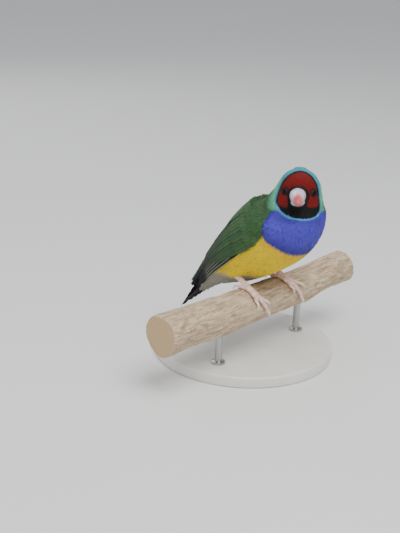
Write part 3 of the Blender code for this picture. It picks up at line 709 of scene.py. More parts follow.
def shaped(made, kind, **values):
    """Gives a piece a modifier with these values and applies it."""
    only(made)
    step = made.modifiers.new("step", kind)
    for key, value in values.items():
        setattr(step, key, value)
    bpy.ops.object.modifier_apply(modifier=step.name)


def settled(name, scale=(1.0, 1.0, 1.0)):
    """Names and scales the new primitive, and moves its place into its mesh."""
    made = bpy.context.active_object
    made.name = name
    made.scale = scale
    bpy.ops.object.transform_apply(location=True, rotation=True, scale=True)
    return made


def add_ball(name, radius, middle, rotation, segments, rings, scale=(1.0, 1.0, 1.0)):
    deselect()
    bpy.ops.mesh.primitive_uv_sphere_add(
        segments=segments, ring_count=rings, radius=radius * MM, location=Vector(middle) * MM,
        rotation=rotation)
    return settled(name, scale)


def add_cylinder(name, vertices, radius, x, y, bottom, top):
    deselect()
    bpy.ops.mesh.primitive_cylinder_add(
        vertices=vertices, radius=radius, depth=top - bottom, location=(x, y, (top + bottom) / 2))
    return settled(name)


def finish_piece(made, material, nodes=(), smooth_to=None):
    """Gives a piece its material, shading and replaced nodes, and lets it ride on the body."""
    made.data.materials.clear()
    made.data.materials.append(material)
    if smooth_to is not None:
        made.data.shade_smooth()
        made.data.set_sharp_from_angle(angle=math.radians(smooth_to))
    if nodes:
        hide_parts(*nodes)
    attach(made, "root")


def ring_turns(sides):
    return np.arange(sides) / sides * 2 * math.pi


def ring_quads(rows, count):
    """The faces between neighbouring rings of equal count."""
    quads = []
    for i in range(rows - 1):
        for j in range(count):
            a, b = i * count + j, i * count + (j + 1) % count
            quads.append((a, b, b + count, a + count))
    return quads


def tube_points(route, radii, sides):
    """Rings round a route, as an array of route points by sides, from its radii or from each ring's own."""
    ahead = np.gradient(route, axis=0)
    ahead /= np.linalg.norm(ahead, axis=1)[:, None]
    across = np.cross(ahead, np.broadcast_to([1.0, 0.0, 0.0], ahead.shape))
    across /= np.linalg.norm(across, axis=1)[:, None]
    over = np.cross(across, ahead)
    turns = ring_turns(sides)
    if radii.ndim == 1:
        radii = np.repeat(radii[:, None], sides, axis=1)
    sideways = across[:, None] * (radii * np.sin(turns))[..., None]
    return route[:, None] + sideways + over[:, None] * (radii * np.cos(turns))[..., None]


def closed_loft(name, rings, ends, colour=None):
    """A closed surface over rings of equal count, each end drawn to its own middle point, with a map."""
    rows, count = rings.shape[:2]
    points = np.concatenate([rings.reshape(-1, 3), np.asarray(ends)])
    first, last, top = rows * count, rows * count + 1, (rows - 1) * count
    tris = []
    for j in range(count):
        tris.append((first, (j + 1) % count, j))
        tris.append((last, top + j, top + (j + 1) % count))
    mesh = bpy.data.meshes.new(name)
    mesh.from_pydata((points * MM).tolist(), [], ring_quads(rows, count) + tris)
    work = bmesh.new()
    work.from_mesh(mesh)
    bmesh.ops.recalc_face_normals(work, faces=work.faces[:])
    work.to_mesh(mesh)
    work.free()
    if colour is not None:
        paint(mesh, colour)
    values = []
    for face in mesh.polygons:
        shares = [(index % count) / count if index < first else None for index in face.vertices]
        known = [share for share in shares if share is not None]
        wraps = max(known) - min(known) > 0.5
        for index, share in zip(face.vertices, shares):
            if share is None:
                share = sum(known) / len(known)
            elif wraps and share < 0.5:
                share += 1.0
            along = 0.0 if index == first else 1.0 if index == last else (index // count) / (rows - 1)
            values += [share * 0.98 + 0.01, along * 0.98 + 0.01]
    mesh.uv_layers.new(name="OFBake").data.foreach_set("uv", values)
    mesh.shade_smooth()
    return place_object(name, mesh)


def body_grid(start, grid):
    """Places along the body and over the crown, with angles round it."""
    along, over, count = grid
    places = np.concatenate([np.linspace(start, CROWN_AT, along), np.linspace(CROWN_AT, CROWN_END, over)[1:]])
    return places, np.meshgrid(places, np.linspace(-180, 180, count + 1)[:-1], indexing="ij")


class Form:
    """The coat's face as a fine mesh that roots and feathers are laid on."""

    def __init__(self):
        places, (grid_place, grid_angle) = body_grid(FORM_FROM, FORM_GRID)
        columns = FORM_GRID[2]
        swell = np.maximum(breast_swell(grid_place, grid_angle), shoulder(grid_place, grid_angle))
        lift = np.maximum(mantle(grid_place, grid_angle), swell) + thigh(grid_place, grid_angle)
        points = body(grid_place, grid_angle, lift).reshape(-1, 3)
        faces = ring_quads(len(places), columns)
        self.tree = BVHTree.FromPolygons(points.tolist(), faces)
        corner = points[np.array(faces)]
        self.middle = corner.mean(1)
        across = np.cross(corner[:, 2] - corner[:, 0], corner[:, 3] - corner[:, 1])
        self.area = np.linalg.norm(across, axis=1) / 2
        self.place = (grid_place[:-1] + grid_place[1:]).ravel() / 2
        self.angle = (grid_angle[:-1] + 180.0 / columns).ravel()
        self.corner = corner
        self.normal = across / (2 * self.area[:, None] + 1e-12)
        outward = np.einsum("ij,ij->i", self.normal, self.middle - section(self.place)[:, :3])
        self.normal[outward < 0] *= -1

    def settle(self, points):
        """Nearest points on the coat's face, with their normals, places and angles."""
        found = np.empty_like(points)
        index = np.empty(len(points), int)
        find = self.tree.find_nearest
        for i, point in enumerate(points.tolist()):
            where, _, face, _ = find(point)
            found[i] = where
            index[i] = face
        return found, self.normal[index], self.place[index], self.angle[index]


BILL_BASE = HEAD_MIDDLE + HEAD_UP * BILL_HEIGHT + HEAD_FACING * 6.0


def flow(points, normals, place):
    """The way feathers lie: back from the bill over the head, then towards the tail."""
    tailward = -section_axes(section(np.minimum(place, CROWN_AT)))[0]
    from_bill = points - BILL_BASE
    from_bill /= np.linalg.norm(from_bill, axis=1)[:, None]
    share = smooth((place - 8.3) / 1.8)[:, None]
    way = from_bill * share + tailward * (1 - share)
    way -= normals * np.einsum("ij,ij->i", way, normals)[:, None]
    return way / (np.linalg.norm(way, axis=1)[:, None] + 1e-9)


def spread_roots(form, spacing, rng, keep):
    """Root points over the form, no two closer than the spacing there."""
    chance = form.area * keep / spacing**2
    total = int(chance.sum() * 2.6)
    picks = rng.choice(len(chance), size=total, p=chance / chance.sum())
    u, v = rng.random(total)[:, None], rng.random(total)[:, None]
    a, b, c, d = (form.corner[picks, k] for k in range(4))
    points = (a * (1 - u) + b * u) * (1 - v) + (d * (1 - u) + c * u) * v
    limits = spacing[picks]
    cells = np.floor(points / float(limits.max())).astype(int).tolist()
    steps = [(dx, dy, dz) for dx in (-1, 0, 1) for dy in (-1, 0, 1) for dz in (-1, 0, 1)]
    taken = {}
    chosen = []
    for i, ((x, y, z), (px, py, pz), limit) in enumerate(zip(cells, points.tolist(), limits.tolist())):
        near = (root for dx, dy, dz in steps for root in taken.get((x + dx, y + dy, z + dz), ()))
        if all((px - qx) ** 2 + (py - qy) ** 2 + (pz - qz) ** 2 >= limit**2 for qx, qy, qz in near):
            taken.setdefault((x, y, z), []).append((px, py, pz))
            chosen.append(i)
    return points[chosen], picks[chosen]


def feather_rows(form, roots, picks, length, rows, rng, stray):
    """Each feather's middle line on the form: points, normals, sides, places and angles for each row."""
    points, normals, place, angle = roots, form.normal[picks], form.place[picks], form.angle[picks]
    way = flow(points, normals, place)
    turned = rng.normal(0.0, stray, len(roots))[:, None]
    layers = []
    for step in range(rows):
        side = np.cross(normals, way)
        lie = way * np.cos(turned) + side * np.sin(turned)
        lie /= np.linalg.norm(lie, axis=1)[:, None]
        layers.append((points, normals, np.cross(normals, lie), place, angle))
        if step < rows - 1:
            points, normals, place, angle = form.settle(points + lie * (length / (rows - 1))[:, None])
            way = flow(points, normals, place)
    return layers


def add_feathers(batch, layers, half, widths, lift, rng):
    """Closed, thin feathers: each row has a left, a middle and a right point, and the last is a tip."""
    count = len(half)
    rows = len(layers)
    lean = rng.normal(0.0, 0.05, count)
    lines = []
    colour = []
    for step, (points, normals, side, place, angle) in enumerate(layers):
        share = step / (rows - 1)
        high = lift[0] + (lift[1] - lift[0]) * share**1.2
        width = half * widths[step]
        if step == rows - 1:
            tip = points + normals * high[:, None]
            lines.append(tip[:, None])
            colour.append(markings(tip, place, angle)[:, None])
            continue
        fall = 0.05 * width
        left = points - side * width[:, None] + normals * (high - fall - lean * width)[:, None]
        middle = points + normals * (high + COAT_ARCH * width)[:, None]
        right = points + side * width[:, None] + normals * (high - fall + lean * width)[:, None]
        lines.append(np.stack([left, middle, right], 1))
        for one in (left, middle, right):
            colour.append(markings(one, place, angle)[:, None])
    points = np.concatenate(lines, 1)
    per = points.shape[1]
    full = rows - 1
    quads, tris = [], []
    for r in range(full - 1):
        a = 3 * r
        quads += [(a, a + 1, a + 4, a + 3), (a + 1, a + 2, a + 5, a + 4), (a + 2, a, a + 3, a + 5)]
    a = 3 * (full - 1)
    tip = 3 * full
    tris += [(a, a + 1, tip), (a + 1, a + 2, tip), (a + 2, a, tip), (0, 2, 1)]
    starts = (np.arange(count) * per)[:, None, None]
    quads = (np.array(quads)[None] + starts).reshape(-1, 4)
    tris = (np.array(tris)[None] + starts).reshape(-1, 3)
    across = np.array([0.0, 0.5, 1.0] * full + [0.5])
    along = np.array([r / full for r in range(full) for _ in range(3)] + [1.0])
    vane = np.broadcast_to(np.stack([across, along], 1), (count, per, 2)).reshape(-1, 2)
    _, _, _, place, angle = layers[0]
    home = np.stack([(angle + 180) / 360, np.clip(place / CROWN_END, 0, 1)], 1) * MAP_FILL + MAP_MARGIN
    patch = np.stack([across - 0.5, along - 0.5], 1) * TUFT_PATCH
    bake = (home[:, None] + patch[None]).reshape(-1, 2)
    colours_here = np.concatenate(colour, 1).reshape(-1, 3)
    batch.add(points.reshape(-1, 3), quads, tris, colours_here, vane, bake)


def coat_numbers(form):
    """Spacing, length and half width of the small feathers on each face of the form, in millimetres."""
    place = form.place
    rows = [np.interp(place, COAT_STOPS, row) for row in (COAT_SPACING, COAT_LENGTH, COAT_HALF)]
    back = smooth((45 - round_from(form.angle, 0.0)) / 15) * smooth((8.0 - place) / 0.8)
    rows[0] *= 1 + 0.2 * back
    rows[2] *= 1 + 0.9 * back
    face = edge_step(1.25 - mask_field(form.middle)[0], 0.1) * smooth((place - 7.8) / 0.3)
    return [row * (1 - face) + on_face * face for row, on_face in zip(rows, COAT_ON_FACE)]


# Materials

def new_material(name, roughness=0.5, **constants):
    material = bpy.data.materials.new(name)
    material.use_nodes = True
    shader = material.node_tree.nodes["Principled BSDF"]
    shader.inputs["Roughness"].default_value = roughness
    for key, value in constants.items():
        shader.inputs[key.replace("_", " ")].default_value = value
    return material, material.node_tree, shader


def solid(colour):
    return (*colour, 1.0)


def group_tree(name, inputs):
    """A new shader group with these inputs, and a colour, a roughness and a height as outputs."""
    tree = bpy.data.node_groups.new(name, "ShaderNodeTree")
    kinds = {1: "NodeSocketFloat", 3: "NodeSocketVector", 4: "NodeSocketColor"}
    for label, value in inputs.items():
        kind = kinds[len(value) if isinstance(value, tuple) else 1]
        tree.interface.new_socket(name=label, in_out="INPUT", socket_type=kind).default_value = value
    for label, size in (("Color", 4), ("Roughness", 1), ("Height", 1)):
        tree.interface.new_socket(name=label, in_out="OUTPUT", socket_type=kinds[size])
    return tree, tree.nodes.new("NodeGroupInput").outputs, tree.nodes.new("NodeGroupOutput").inputs


class Wires:
    """Short ways to add and join nodes in one tree. A value is a number, a tuple or another node's output."""

    def __init__(self, tree):
        self.tree = tree

    def add(self, kind, **values):
        node = self.tree.nodes.new(kind)
        for key, value in values.items():
            setattr(node, key, value)
        return node

    def join(self, source, target):
        self.tree.links.new(source, target)

    def put(self, value, socket):
        if isinstance(value, bpy.types.NodeSocket):
            self.join(value, socket)
        else:
            socket.default_value = value

    def place(self):
        return self.add("ShaderNodeTexCoord").outputs["Object"]

    def math(self, operation, first, second=0.0):
        node = self.add("ShaderNodeMath", operation=operation)
        self.put(first, node.inputs[0])
        self.put(second, node.inputs[1])
        return node.outputs[0]

    def times(self, first, second):
        return self.math("MULTIPLY", first, second)

    def plus(self, first, second):
        return self.math("ADD", first, second)

    def minus(self, first, second):
        return self.math("SUBTRACT", first, second)

    def noise(self, vector, scale, detail=2.0, roughness=0.5, distortion=0.0):
        node = self.add("ShaderNodeTexNoise")
        self.join(vector, node.inputs["Vector"])
        for label, value in (
                ("Scale", scale), ("Detail", detail), ("Roughness", roughness), ("Distortion", distortion)):
            self.put(value, node.inputs[label])
        return node.outputs["Fac"]

    def mapped(self, vector, scale, location=(0, 0, 0)):
        node = self.add("ShaderNodeMapping")
        node.inputs["Scale"].default_value = scale
        node.inputs["Location"].default_value = location
        self.join(vector, node.inputs["Vector"])
        return node.outputs["Vector"]

    def mixed(self, share, first, second):
        node = self.add("ShaderNodeMix", data_type="RGBA")
        for index, value in ((0, share), (6, first), (7, second)):
            self.put(value, node.inputs[index])
        return node.outputs[2]

    def ramp(self, value, low, high):
        node = self.add("ShaderNodeMapRange")
        node.inputs["From Min"].default_value = low
        node.inputs["From Max"].default_value = high
        self.join(value, node.inputs["Value"])
        return node.outputs["Result"]

    def bump(self, height, distance, strength, shader):
        """Gives a shader the relief of a height, with its depth in millimetres."""
        node = self.add("ShaderNodeBump")
        node.inputs["Distance"].default_value = distance * MM
        node.inputs["Strength"].default_value = strength
        self.join(height, node.inputs["Height"])
        self.join(node.outputs["Normal"], shader.inputs["Normal"])


def plumage_group():
    """Barbs along each vane, a soft mottle over the body and a painted shadow darkening each root, from the
    marking's colour.
    """
    tree, source, sink = group_tree("Plumage", {
        "Color": (0.5, 0.5, 0.5, 1.0), "Position": (0.0, 0.0, 0.0), "Vane": (0.0, 0.0, 0.0),
        "Barb Count": 30.0, "Barb Contrast": 0.1, "Mottle Scale": 420.0, "Mottle": 0.2, "Root Painted Shadow": 0.3})
    w = Wires(tree)
    split = w.add("ShaderNodeSeparateXYZ")
    w.join(source["Vane"], split.inputs[0])
    across, along = split.outputs[0], split.outputs[1]
    edge = w.math("ABSOLUTE", w.minus(across, 0.5))
    phase = w.minus(w.times(along, source["Barb Count"]), w.times(edge, 7.0))
    barb = w.math("SINE", w.times(phase, 2 * math.pi))
    fine = w.noise(source["Position"], source["Mottle Scale"], 3.0)
    broad = w.noise(source["Position"], 90.0, 2.0)
    mottle = w.minus(w.plus(fine, w.times(broad, 0.6)), 0.8)
    # Painted shadow: each vane darkens towards its root, where the feather above covers it
    shade = w.times(w.minus(1.0, w.ramp(along, 0.15, 0.85)), source["Root Painted Shadow"])
    amount = w.plus(w.plus(1.0, w.times(mottle, source["Mottle"])), w.times(barb, source["Barb Contrast"]))
    amount = w.math("MAXIMUM", w.minus(amount, shade), 0.05)
    tone = w.add("ShaderNodeVectorMath", operation="SCALE")
    w.join(source["Color"], tone.inputs[0])
    w.join(amount, tone.inputs["Scale"])
    w.join(tone.outputs[0], sink["Color"])
    w.join(w.plus(0.52, w.times(fine, 0.25)), sink["Roughness"])
    w.join(w.plus(w.times(barb, 0.5), w.times(fine, 1.2)), sink["Height"])
    return tree


def mottle_group():
    """Mottling between two colours, with a relief, for horn, skin and lacquer."""
    tree, source, sink = group_tree("Mottle", {
        "Color": (0.5, 0.5, 0.5, 1.0), "Second Color": (0.4, 0.4, 0.4, 1.0), "Position": (0.0, 0.0, 0.0),
        "Scale": 300.0, "Contrast": 0.5, "Roughness": 0.4})
    w = Wires(tree)
    coarse = w.noise(source["Position"], source["Scale"], 4.0)
    share = w.times(w.ramp(coarse, 0.35, 0.7), source["Contrast"])
    w.join(w.mixed(share, source["Color"], source["Second Color"]), sink["Color"])
    w.join(w.plus(source["Roughness"], w.times(coarse, 0.15)), sink["Roughness"])
    w.join(coarse, sink["Height"])
    return tree


def grouped_material(name, roughness, build, values, relief, strength, marked, constants):
    """A material round one of the shared groups, which is built when it is first used."""
    material, tree, shader = new_material(name, roughness, **constants)
    w = Wires(tree)
    label = {plumage_group: "Plumage", mottle_group: "Mottle"}[build]
    group = w.add("ShaderNodeGroup", node_tree=bpy.data.node_groups.get(label) or build())
    w.join(w.place(), group.inputs["Position"])
    for key, value in values.items():
        group.inputs[key].default_value = value
    if marked:
        marking = w.add("ShaderNodeAttribute", attribute_name="marking")
        w.join(marking.outputs["Color"], group.inputs["Color"])
    w.bump(group.outputs["Height"], relief, strength, shader)
    w.join(group.outputs["Color"], shader.inputs["Base Color"])
    w.join(group.outputs["Roughness"], shader.inputs["Roughness"])
    return material, w, group


def plumage_material(name, barb_count, barb_contrast, mottle_scale, mottle, root_painted_shadow, relief):
    values = {"Barb Count": barb_count, "Barb Contrast": barb_contrast, "Mottle Scale": mottle_scale,
              "Mottle": mottle, "Root Painted Shadow": root_painted_shadow}
    constants = dict(Sheen_Weight=0.03, Sheen_Roughness=0.5, Specular_IOR_Level=0.2)
    material, w, group = grouped_material(
        name, 0.6, plumage_group, values, relief, sizes().barbs, True, constants)
    w.join(w.add("ShaderNodeUVMap", uv_map="vane").outputs["UV"], group.inputs["Vane"])
    return material


def mottled_material(name, colour, second, scale, contrast, roughness, relief, marked=False, **constants):
    values = {"Color": solid(colour), "Second Color": solid(second), "Scale": scale, "Contrast": contrast,
              "Roughness": roughness}
    return grouped_material(name, roughness, mottle_group, values, relief, 0.6, marked, constants)[0]


# Operators

class FINCH_OT_skin(bpy.types.Operator):
    """Adds the skin under the plumage, in one surface from the crown to the tail's root"""
    bl_idname = "finch.skin"
    bl_label = "Skin"

    def execute(self, context):
        depth = in_mm(sizes().coat_depth)
        places, (place, angle) = body_grid(SKIN_FROM, SKIN_GRID)
        lift = mantle(place, angle) - 0.6 * bed(place, angle) - depth
        end = 1 - 0.5 * (1 - smooth((place - SKIN_FROM) / 0.35))
        rings = body(place, angle, lift)
        middle = section(places)[:, None, :3]
        rings = middle + (rings - middle) * end[..., None]
        normal = section_axes(section(CROWN_AT))[0]
        ends = [middle[0, 0], section(CROWN_AT)[:3] + normal * (CROWN_RISE - depth)]
        flat = np.concatenate([rings.reshape(-1, 3), ends])
        all_place = np.concatenate([place.ravel(), [SKIN_FROM, CROWN_AT]])
        all_angle = np.concatenate([angle.ravel(), [0.0, 180.0]])
        made = closed_loft("skin", rings, ends, markings(flat, all_place, all_angle))
        material = mottled_material(
            "skin_under_plumage", colours().belly, tint(40, 40, 30), 500.0, 0.35, 0.75, 0.05, marked=True)
        finish_piece(made, material, ("torso", "neck", "head"))
        return {"FINISHED"}


class FINCH_OT_plumage(bpy.types.Operator):
    """Adds the small feathers over the head, breast, belly and back"""
    bl_idname = "finch.plumage"
    bl_label = "Plumage"

    def execute(self, context):
        form = Form()
        spacing, length, half = coat_numbers(form)
        hidden = self.under_wing(form)
        rng = np.random.default_rng(sizes().seed)
        dense = spacing / math.sqrt(sizes().coat_density)
        for name, low, high, slot in COAT_PIECES:
            keep = ((form.place >= low) & (form.place < high) & ~hidden).astype(float)
            roots, picks = spread_roots(form, dense, rng, keep)
            roots, picks = self.clear_of_face(roots, picks)
            long = length[picks] * rng.normal(1.0, 0.10, len(picks))
            rows = 5 if high < 9.4 else 4
            layers = feather_rows(form, roots, picks, long, rows, rng, 0.07)
            wide = half[picks] * rng.normal(1.0, 0.10, len(picks))
            depth = in_mm(sizes().coat_depth)
            loose = np.interp(form.place[picks], TIP_STOPS, TIP_RISE)
            start = np.full(len(picks), -0.8 * depth)
            stand = loose * rng.uniform(0.4, 1.6, len(picks))
            batch = Batch()
            layers, wide, start, stand = self.clear_of_eyes(layers, wide, start, stand)
            add_feathers(batch, layers, wide, COAT_WIDTHS[rows], (start, stand), rng)
            made = batch.build(name)
            material = plumage_material(name, 9.0, 0.03, 520.0, 0.26, 0.20, 0.06)
            finish_piece(made, material)
        return {"FINISHED"}

    @staticmethod
    def under_wing(form):
        """Where the folded wings hide the coat."""
        away, place = round_from(form.angle, 0.0), form.place
        front = UNDER_WING_FRONT[0] - UNDER_WING_FRONT[1] * smooth((away - 60) / 35)
        lowest = np.interp(place, UNDER_WING_STOPS, UNDER_WING_ROUND)
        return (away > UNDER_WING_TOP) & (away < lowest) & (place > UNDER_WING_REAR) & (place < front)

    @staticmethod
    def clear_of_face(roots, picks):
        """Leaves out roots under the bill."""
        away = roots - HEAD_MIDDLE
        across = (away @ HEAD_SIDE - BILL_SHIFT) / UNDER_BILL_HALF[0]
        high = (away @ HEAD_UP - BILL_HEIGHT - UNDER_BILL_RISE) / UNDER_BILL_HALF[1]
        under_bill = (away @ HEAD_FACING > 0) & (np.hypot(across, high) < 1)
        return roots[~under_bill], picks[~under_bill]

    @staticmethod
    def clear_of_eyes(layers, *rows):
        """Leaves out feathers that would lie over an eye."""
        keep = np.ones(len(rows[0]), bool)
        for sign in (-1, 1):
            look = eye_look(sign)
            for layer in layers:
                away = layer[0] - eye_middle(sign)
                ahead = away @ look
                beside = np.linalg.norm(away - ahead[:, None] * look, axis=1)
                keep &= (ahead < 0) | (beside > EYE_BARE) | (ahead > 4)
        return ([tuple(part[keep] for part in layer) for layer in layers], *(row[keep] for row in rows))


def vane_outline(u, kind):
    """A flight feather's half width along its length, as a share."""
    round_tip = ROUND_TIPS[kind]
    rise = 0.55 + 0.45 * smooth(u / 0.3)
    fall = np.sqrt(np.clip(1 - (np.clip(u - round_tip, 0, 1) / (1 - round_tip)) ** 2.0, 0, 1))
    return rise * np.maximum(fall, 0.04)


def nicks(u, rng, count, depth):
    """Small splits in a vane's edge, as a share to take from its width."""
    cut = np.zeros_like(u)
    for _ in range(count):
        at, wide = rng.uniform(0.35, 0.97), rng.uniform(0.008, 0.02)
        cut = np.maximum(cut, depth * rng.uniform(0.5, 1.0) * (np.abs(u - at) < wide))
    return cut


def shell_faces(rows, columns):
    """Faces of a closed shell: a top grid, a bottom grid after it, and the rim between."""
    layer = rows * columns
    quads = []
    for i in range(rows - 1):
        for j in range(columns - 1):
            a = i * columns + j
            quads.append((a, a + 1, a + columns + 1, a + columns))
            quads.append((a + layer, a + columns + layer, a + columns + 1 + layer, a + 1 + layer))
    edge = list(range(columns))
    edge += [i * columns + columns - 1 for i in range(1, rows)]
    edge += [(rows - 1) * columns + j for j in range(columns - 2, -1, -1)]
    edge += [i * columns for i in range(rows - 2, 0, -1)]
    for a, b in zip(edge, edge[1:] + edge[:1]):
        quads.append((b, a, a + layer, b + layer))
    return quads


def vane_widths(half, split):
    """How far each point lies from the shaft, with the splits taken from the vane's two edges."""
    edge = np.where(np.abs(VANE_COLUMNS) > VANE_EDGE, 1.0, 0.0)
    return half[:, None] * (VANE_COLUMNS[None] - np.sign(VANE_COLUMNS)[None] * edge[None] * split[:, None])


def vane_relief(slope, u, shaft, fade, arch):
    """A vane's slope with its shaft, which fades to the tip, and its slight arch."""
    ridge = shaft * np.exp(-(VANE_COLUMNS / SHAFT_HALF) ** 2)[None] * (1 - fade * u)[:, None]
    return slope + ridge + arch * (1 - VANE_COLUMNS**2)[None]


def map_corner(number, across, margin):
    return (number % across) / across + margin, (number // across) / across + margin


def add_vane(batch, grid, out, colour, bake, flip):
    """A closed vane from a grid of points, its outward directions and its thickness to the inside."""
    rows, columns = grid.shape[:2]
    thin = np.full(columns, in_mm(sizes().vane_thickness))
    thin[[0, -1]] *= 0.5
    lower = grid - out * thin[None, :, None]
    points = np.concatenate([grid.reshape(-1, 3), lower.reshape(-1, 3)])
    quads = shell_faces(rows, columns)
    if flip:
        quads = [tuple(reversed(face)) for face in quads]
    across, along = np.meshgrid((VANE_COLUMNS + 1) / 2, np.linspace(0, 1, rows))
    vane = np.tile(np.stack([across.ravel(), along.ravel()], 1), (2, 1))
    corner, span = bake
    placed = np.array(corner) + vane * np.array(span)
    batch.add(points, quads, [], np.tile(colour.reshape(-1, 3), (2, 1)), vane, placed)


class FINCH_OT_wings(bpy.types.Operator):
    """Adds both folded wings, feather by feather in their tiers"""
    bl_idname = "finch.wings"
    bl_label = "Wings"

    def execute(self, context):
        for label, side in (("left", 1), ("right", -1)):
            rng = np.random.default_rng(sizes().seed + 11 + side)
            batch = Batch()
            number = 0
            for tier in WING_TIERS:
                for index in range(tier["count"]):
                    self.feather(batch, side, tier, index, number, rng)
                    number += 1
            made = batch.build("wing_feathers_" + label, 50.0)
            material = plumage_material("wing_" + label, 34.0, 0.07, 360.0, 0.62, 0.14, 0.10)
            finish_piece(made, material, ("wing_" + label,))
        return {"FINISHED"}

    @staticmethod
    def feather(batch, side, tier, index, number, rng):
        """One feather of a tier, laid along the body from its root to its tip."""
        share = index / (tier["count"] - 1)
        kind = tier["kind"]
        root, tip = (
            at + slant * share + curve * share**3 for at, slant, curve in (tier["root"], tier["tip"]))
        root += rng.normal(0, 0.012)
        tip += rng.normal(0, 0.025)
        from_round, to_round = (
            upper + (lower - upper) * share for upper, lower in (tier["round_root"], tier["round_tip"]))
        to_round += rng.normal(0, 0.5)
        rows = LONG_ROWS if kind in LONG_KINDS else SHORT_ROWS
        u = np.linspace(0, 1, rows)
        place = root + (tip - root) * u
        middle = from_round + (to_round - from_round) * u
        lift = tier["lift"][0] + (tier["lift"][1] - tier["lift"][0]) * u ** tier["late"]
        lift = lift - tier["stack"] * index * u + rng.normal(0, 0.012)
        row = section(place)
        half = tier["half"] * vane_outline(u, kind) * rng.normal(1.0, 0.03)
        split = nicks(u, rng, 2, 0.22) if kind in LONG_KINDS else np.zeros(rows)
        wide = vane_widths(half, split)
        turn = np.degrees(wide / (0.5 * (row[:, 5] + row[:, 6]) + lift)[:, None])
        rise = vane_relief(wide * tier["slope"], u, 0.05, 1.0, 0.04)
        angle = side * (middle[:, None] + turn)
        points = body(place[:, None], angle, lift[:, None] + rise)
        out = body(place[:, None], angle, lift[:, None] + rise + 1.0) - points
        out /= np.linalg.norm(out, axis=-1)[..., None]
        colour = wing_colours(kind, place, u, share, rng)
        corner = map_corner(number, WING_MAP, 0.004)
        add_vane(batch, points, out, colour, (corner, (0.92 / WING_MAP, 0.92 / WING_MAP)), side < 0)


def wing_colours(kind, place, u, share, rng):
    """Green webs, darker to the rear, black primaries with a pale edge, and coverts with a faint one."""
    c = colours()
    across = VANE_COLUMNS
    green, olive, black, edge = (np.array(row) for row in (c.back, c.shade, c.tail, c.edge))
    rows, columns = len(u), len(across)
    tone = rng.normal(1.0, 0.10) * (1 + np.array([-0.5, 0.0, 0.9]) * rng.normal(0.0, 0.12))
    colour = np.broadcast_to(green * tone, (rows, columns, 3)).copy()
    inner = smooth((0.0 - across) / 0.7)[None]
    rearward = smooth((5.0 - place) / 1.8)[:, None]
    last = smooth((3.5 - place) / 0.9)[:, None]
    if kind == "primary":
        dusk, dark = np.ones((rows, 1)), np.clip(0.45 + 0.45 * share + last, 0, 1)
    elif kind in ("secondary", "tertial"):
        dusk, dark = np.clip(0.8 * rearward + 0.15 * inner, 0, 1), 0.7 * last + 0.35 * rearward * inner
    else:
        dusk, dark = 0.18 * inner + 0.12 * smooth((u - 0.5) / 0.5)[:, None], 0.0 * inner
    for darker, amount in ((olive, dusk), (black, dark)):
        colour = blend_colours(colour, darker, np.broadcast_to(amount, (rows, columns)))
    if kind == "primary":
        line = (np.abs(across - 0.9) < 0.12)[None] * (0.25 + 0.65 * share) * smooth((u - 0.1) / 0.1)[:, None]
        line = line * (1 - smooth((u - 0.72) / 0.15))[:, None]
    else:
        line = 0.05 * smooth((across - 0.6) / 0.3)[None] * smooth((u - 0.3) / 0.4)[:, None]
    return blend_colours(colour, edge, np.broadcast_to(line, (rows, columns)))


class FINCH_OT_tail(bpy.types.Operator):
    """Adds the graduated tail feathers"""
    bl_idname = "finch.tail"
    bl_label = "Tail"

    def execute(self, context):
        row = section(TAIL_AT)
        start = row[:3] - section_axes(row)[0] * GAP
        slope = math.radians(TAIL_SLOPE)
        along = np.array([0.0, math.cos(slope), -math.sin(slope)])
        over = np.array([0.0, math.sin(slope), math.cos(slope)])
        across = np.array([1.0, 0.0, 0.0])
        rng = np.random.default_rng(sizes().seed + 31)
        batch = Batch()
        # Painted sheen: the feathers take the tail's black lightened and tinted blue-grey, and shade stays
        # the plain black
        tail, shade = np.array(colours().tail) * (1.9, 2.1, 2.3), np.array(colours().tail)
        number = 0
        for pair in range(TAIL_PAIRS):
            length = TAIL_LONGEST - TAIL_STEP * pair - (TAIL_FIRST_STEP if pair else 0.0)
            for side in (-1, 1):
                u = np.linspace(0, 1, TAIL_ROWS)
                gone = -3.0 + (length + 3.0) * u
                out = side * (0.9 + TAIL_SPREAD * pair * (0.6 + 0.4 * u))
                layer = TAIL_TOP - TAIL_LAYER * pair - 0.2 * (side < 0) - 0.8 * (1 - smooth(gone / 5.0))
                half = TAIL_HALF * vane_outline(u, "tail")
                if pair == 0:
                    half = half * (1 - 0.45 * smooth((u - 0.45) / 0.55))
                wide = vane_widths(half, nicks(u, rng, 3, 0.30))
                rise = vane_relief(-side * wide * TAIL_ROOF, u, 0.10, 0.7, 0.08)
                points = (
                    start
                    + along * gone[:, None, None]
                    + across * (out[:, None] + wide)[..., None]
                    + over * (layer[:, None] + rise)[..., None]
                )
                facing = np.broadcast_to(over, points.shape)
                tone = rng.normal(1.0, 0.12)
                colour = np.broadcast_to(tail * tone, points.shape).copy()
                # The webs' edges fall back towards the plain black, out of the painted sheen
                web = 0.25 * smooth((np.abs(VANE_COLUMNS) - 0.4) / 0.6)[None] * np.ones((len(u), 1))
                colour = blend_colours(colour, shade, web)
                corner = map_corner(number, TAIL_MAP, 0.01)
                add_vane(batch, points, facing, colour, (corner, (0.22, 0.22)), True)
                number += 1
        made = batch.build("tail_feathers", 50.0)
        material = plumage_material("tail", 40.0, 0.10, 420.0, 0.35, 0.0, 0.12)
        finish_piece(made, material, ("tail",))
        return {"FINISHED"}


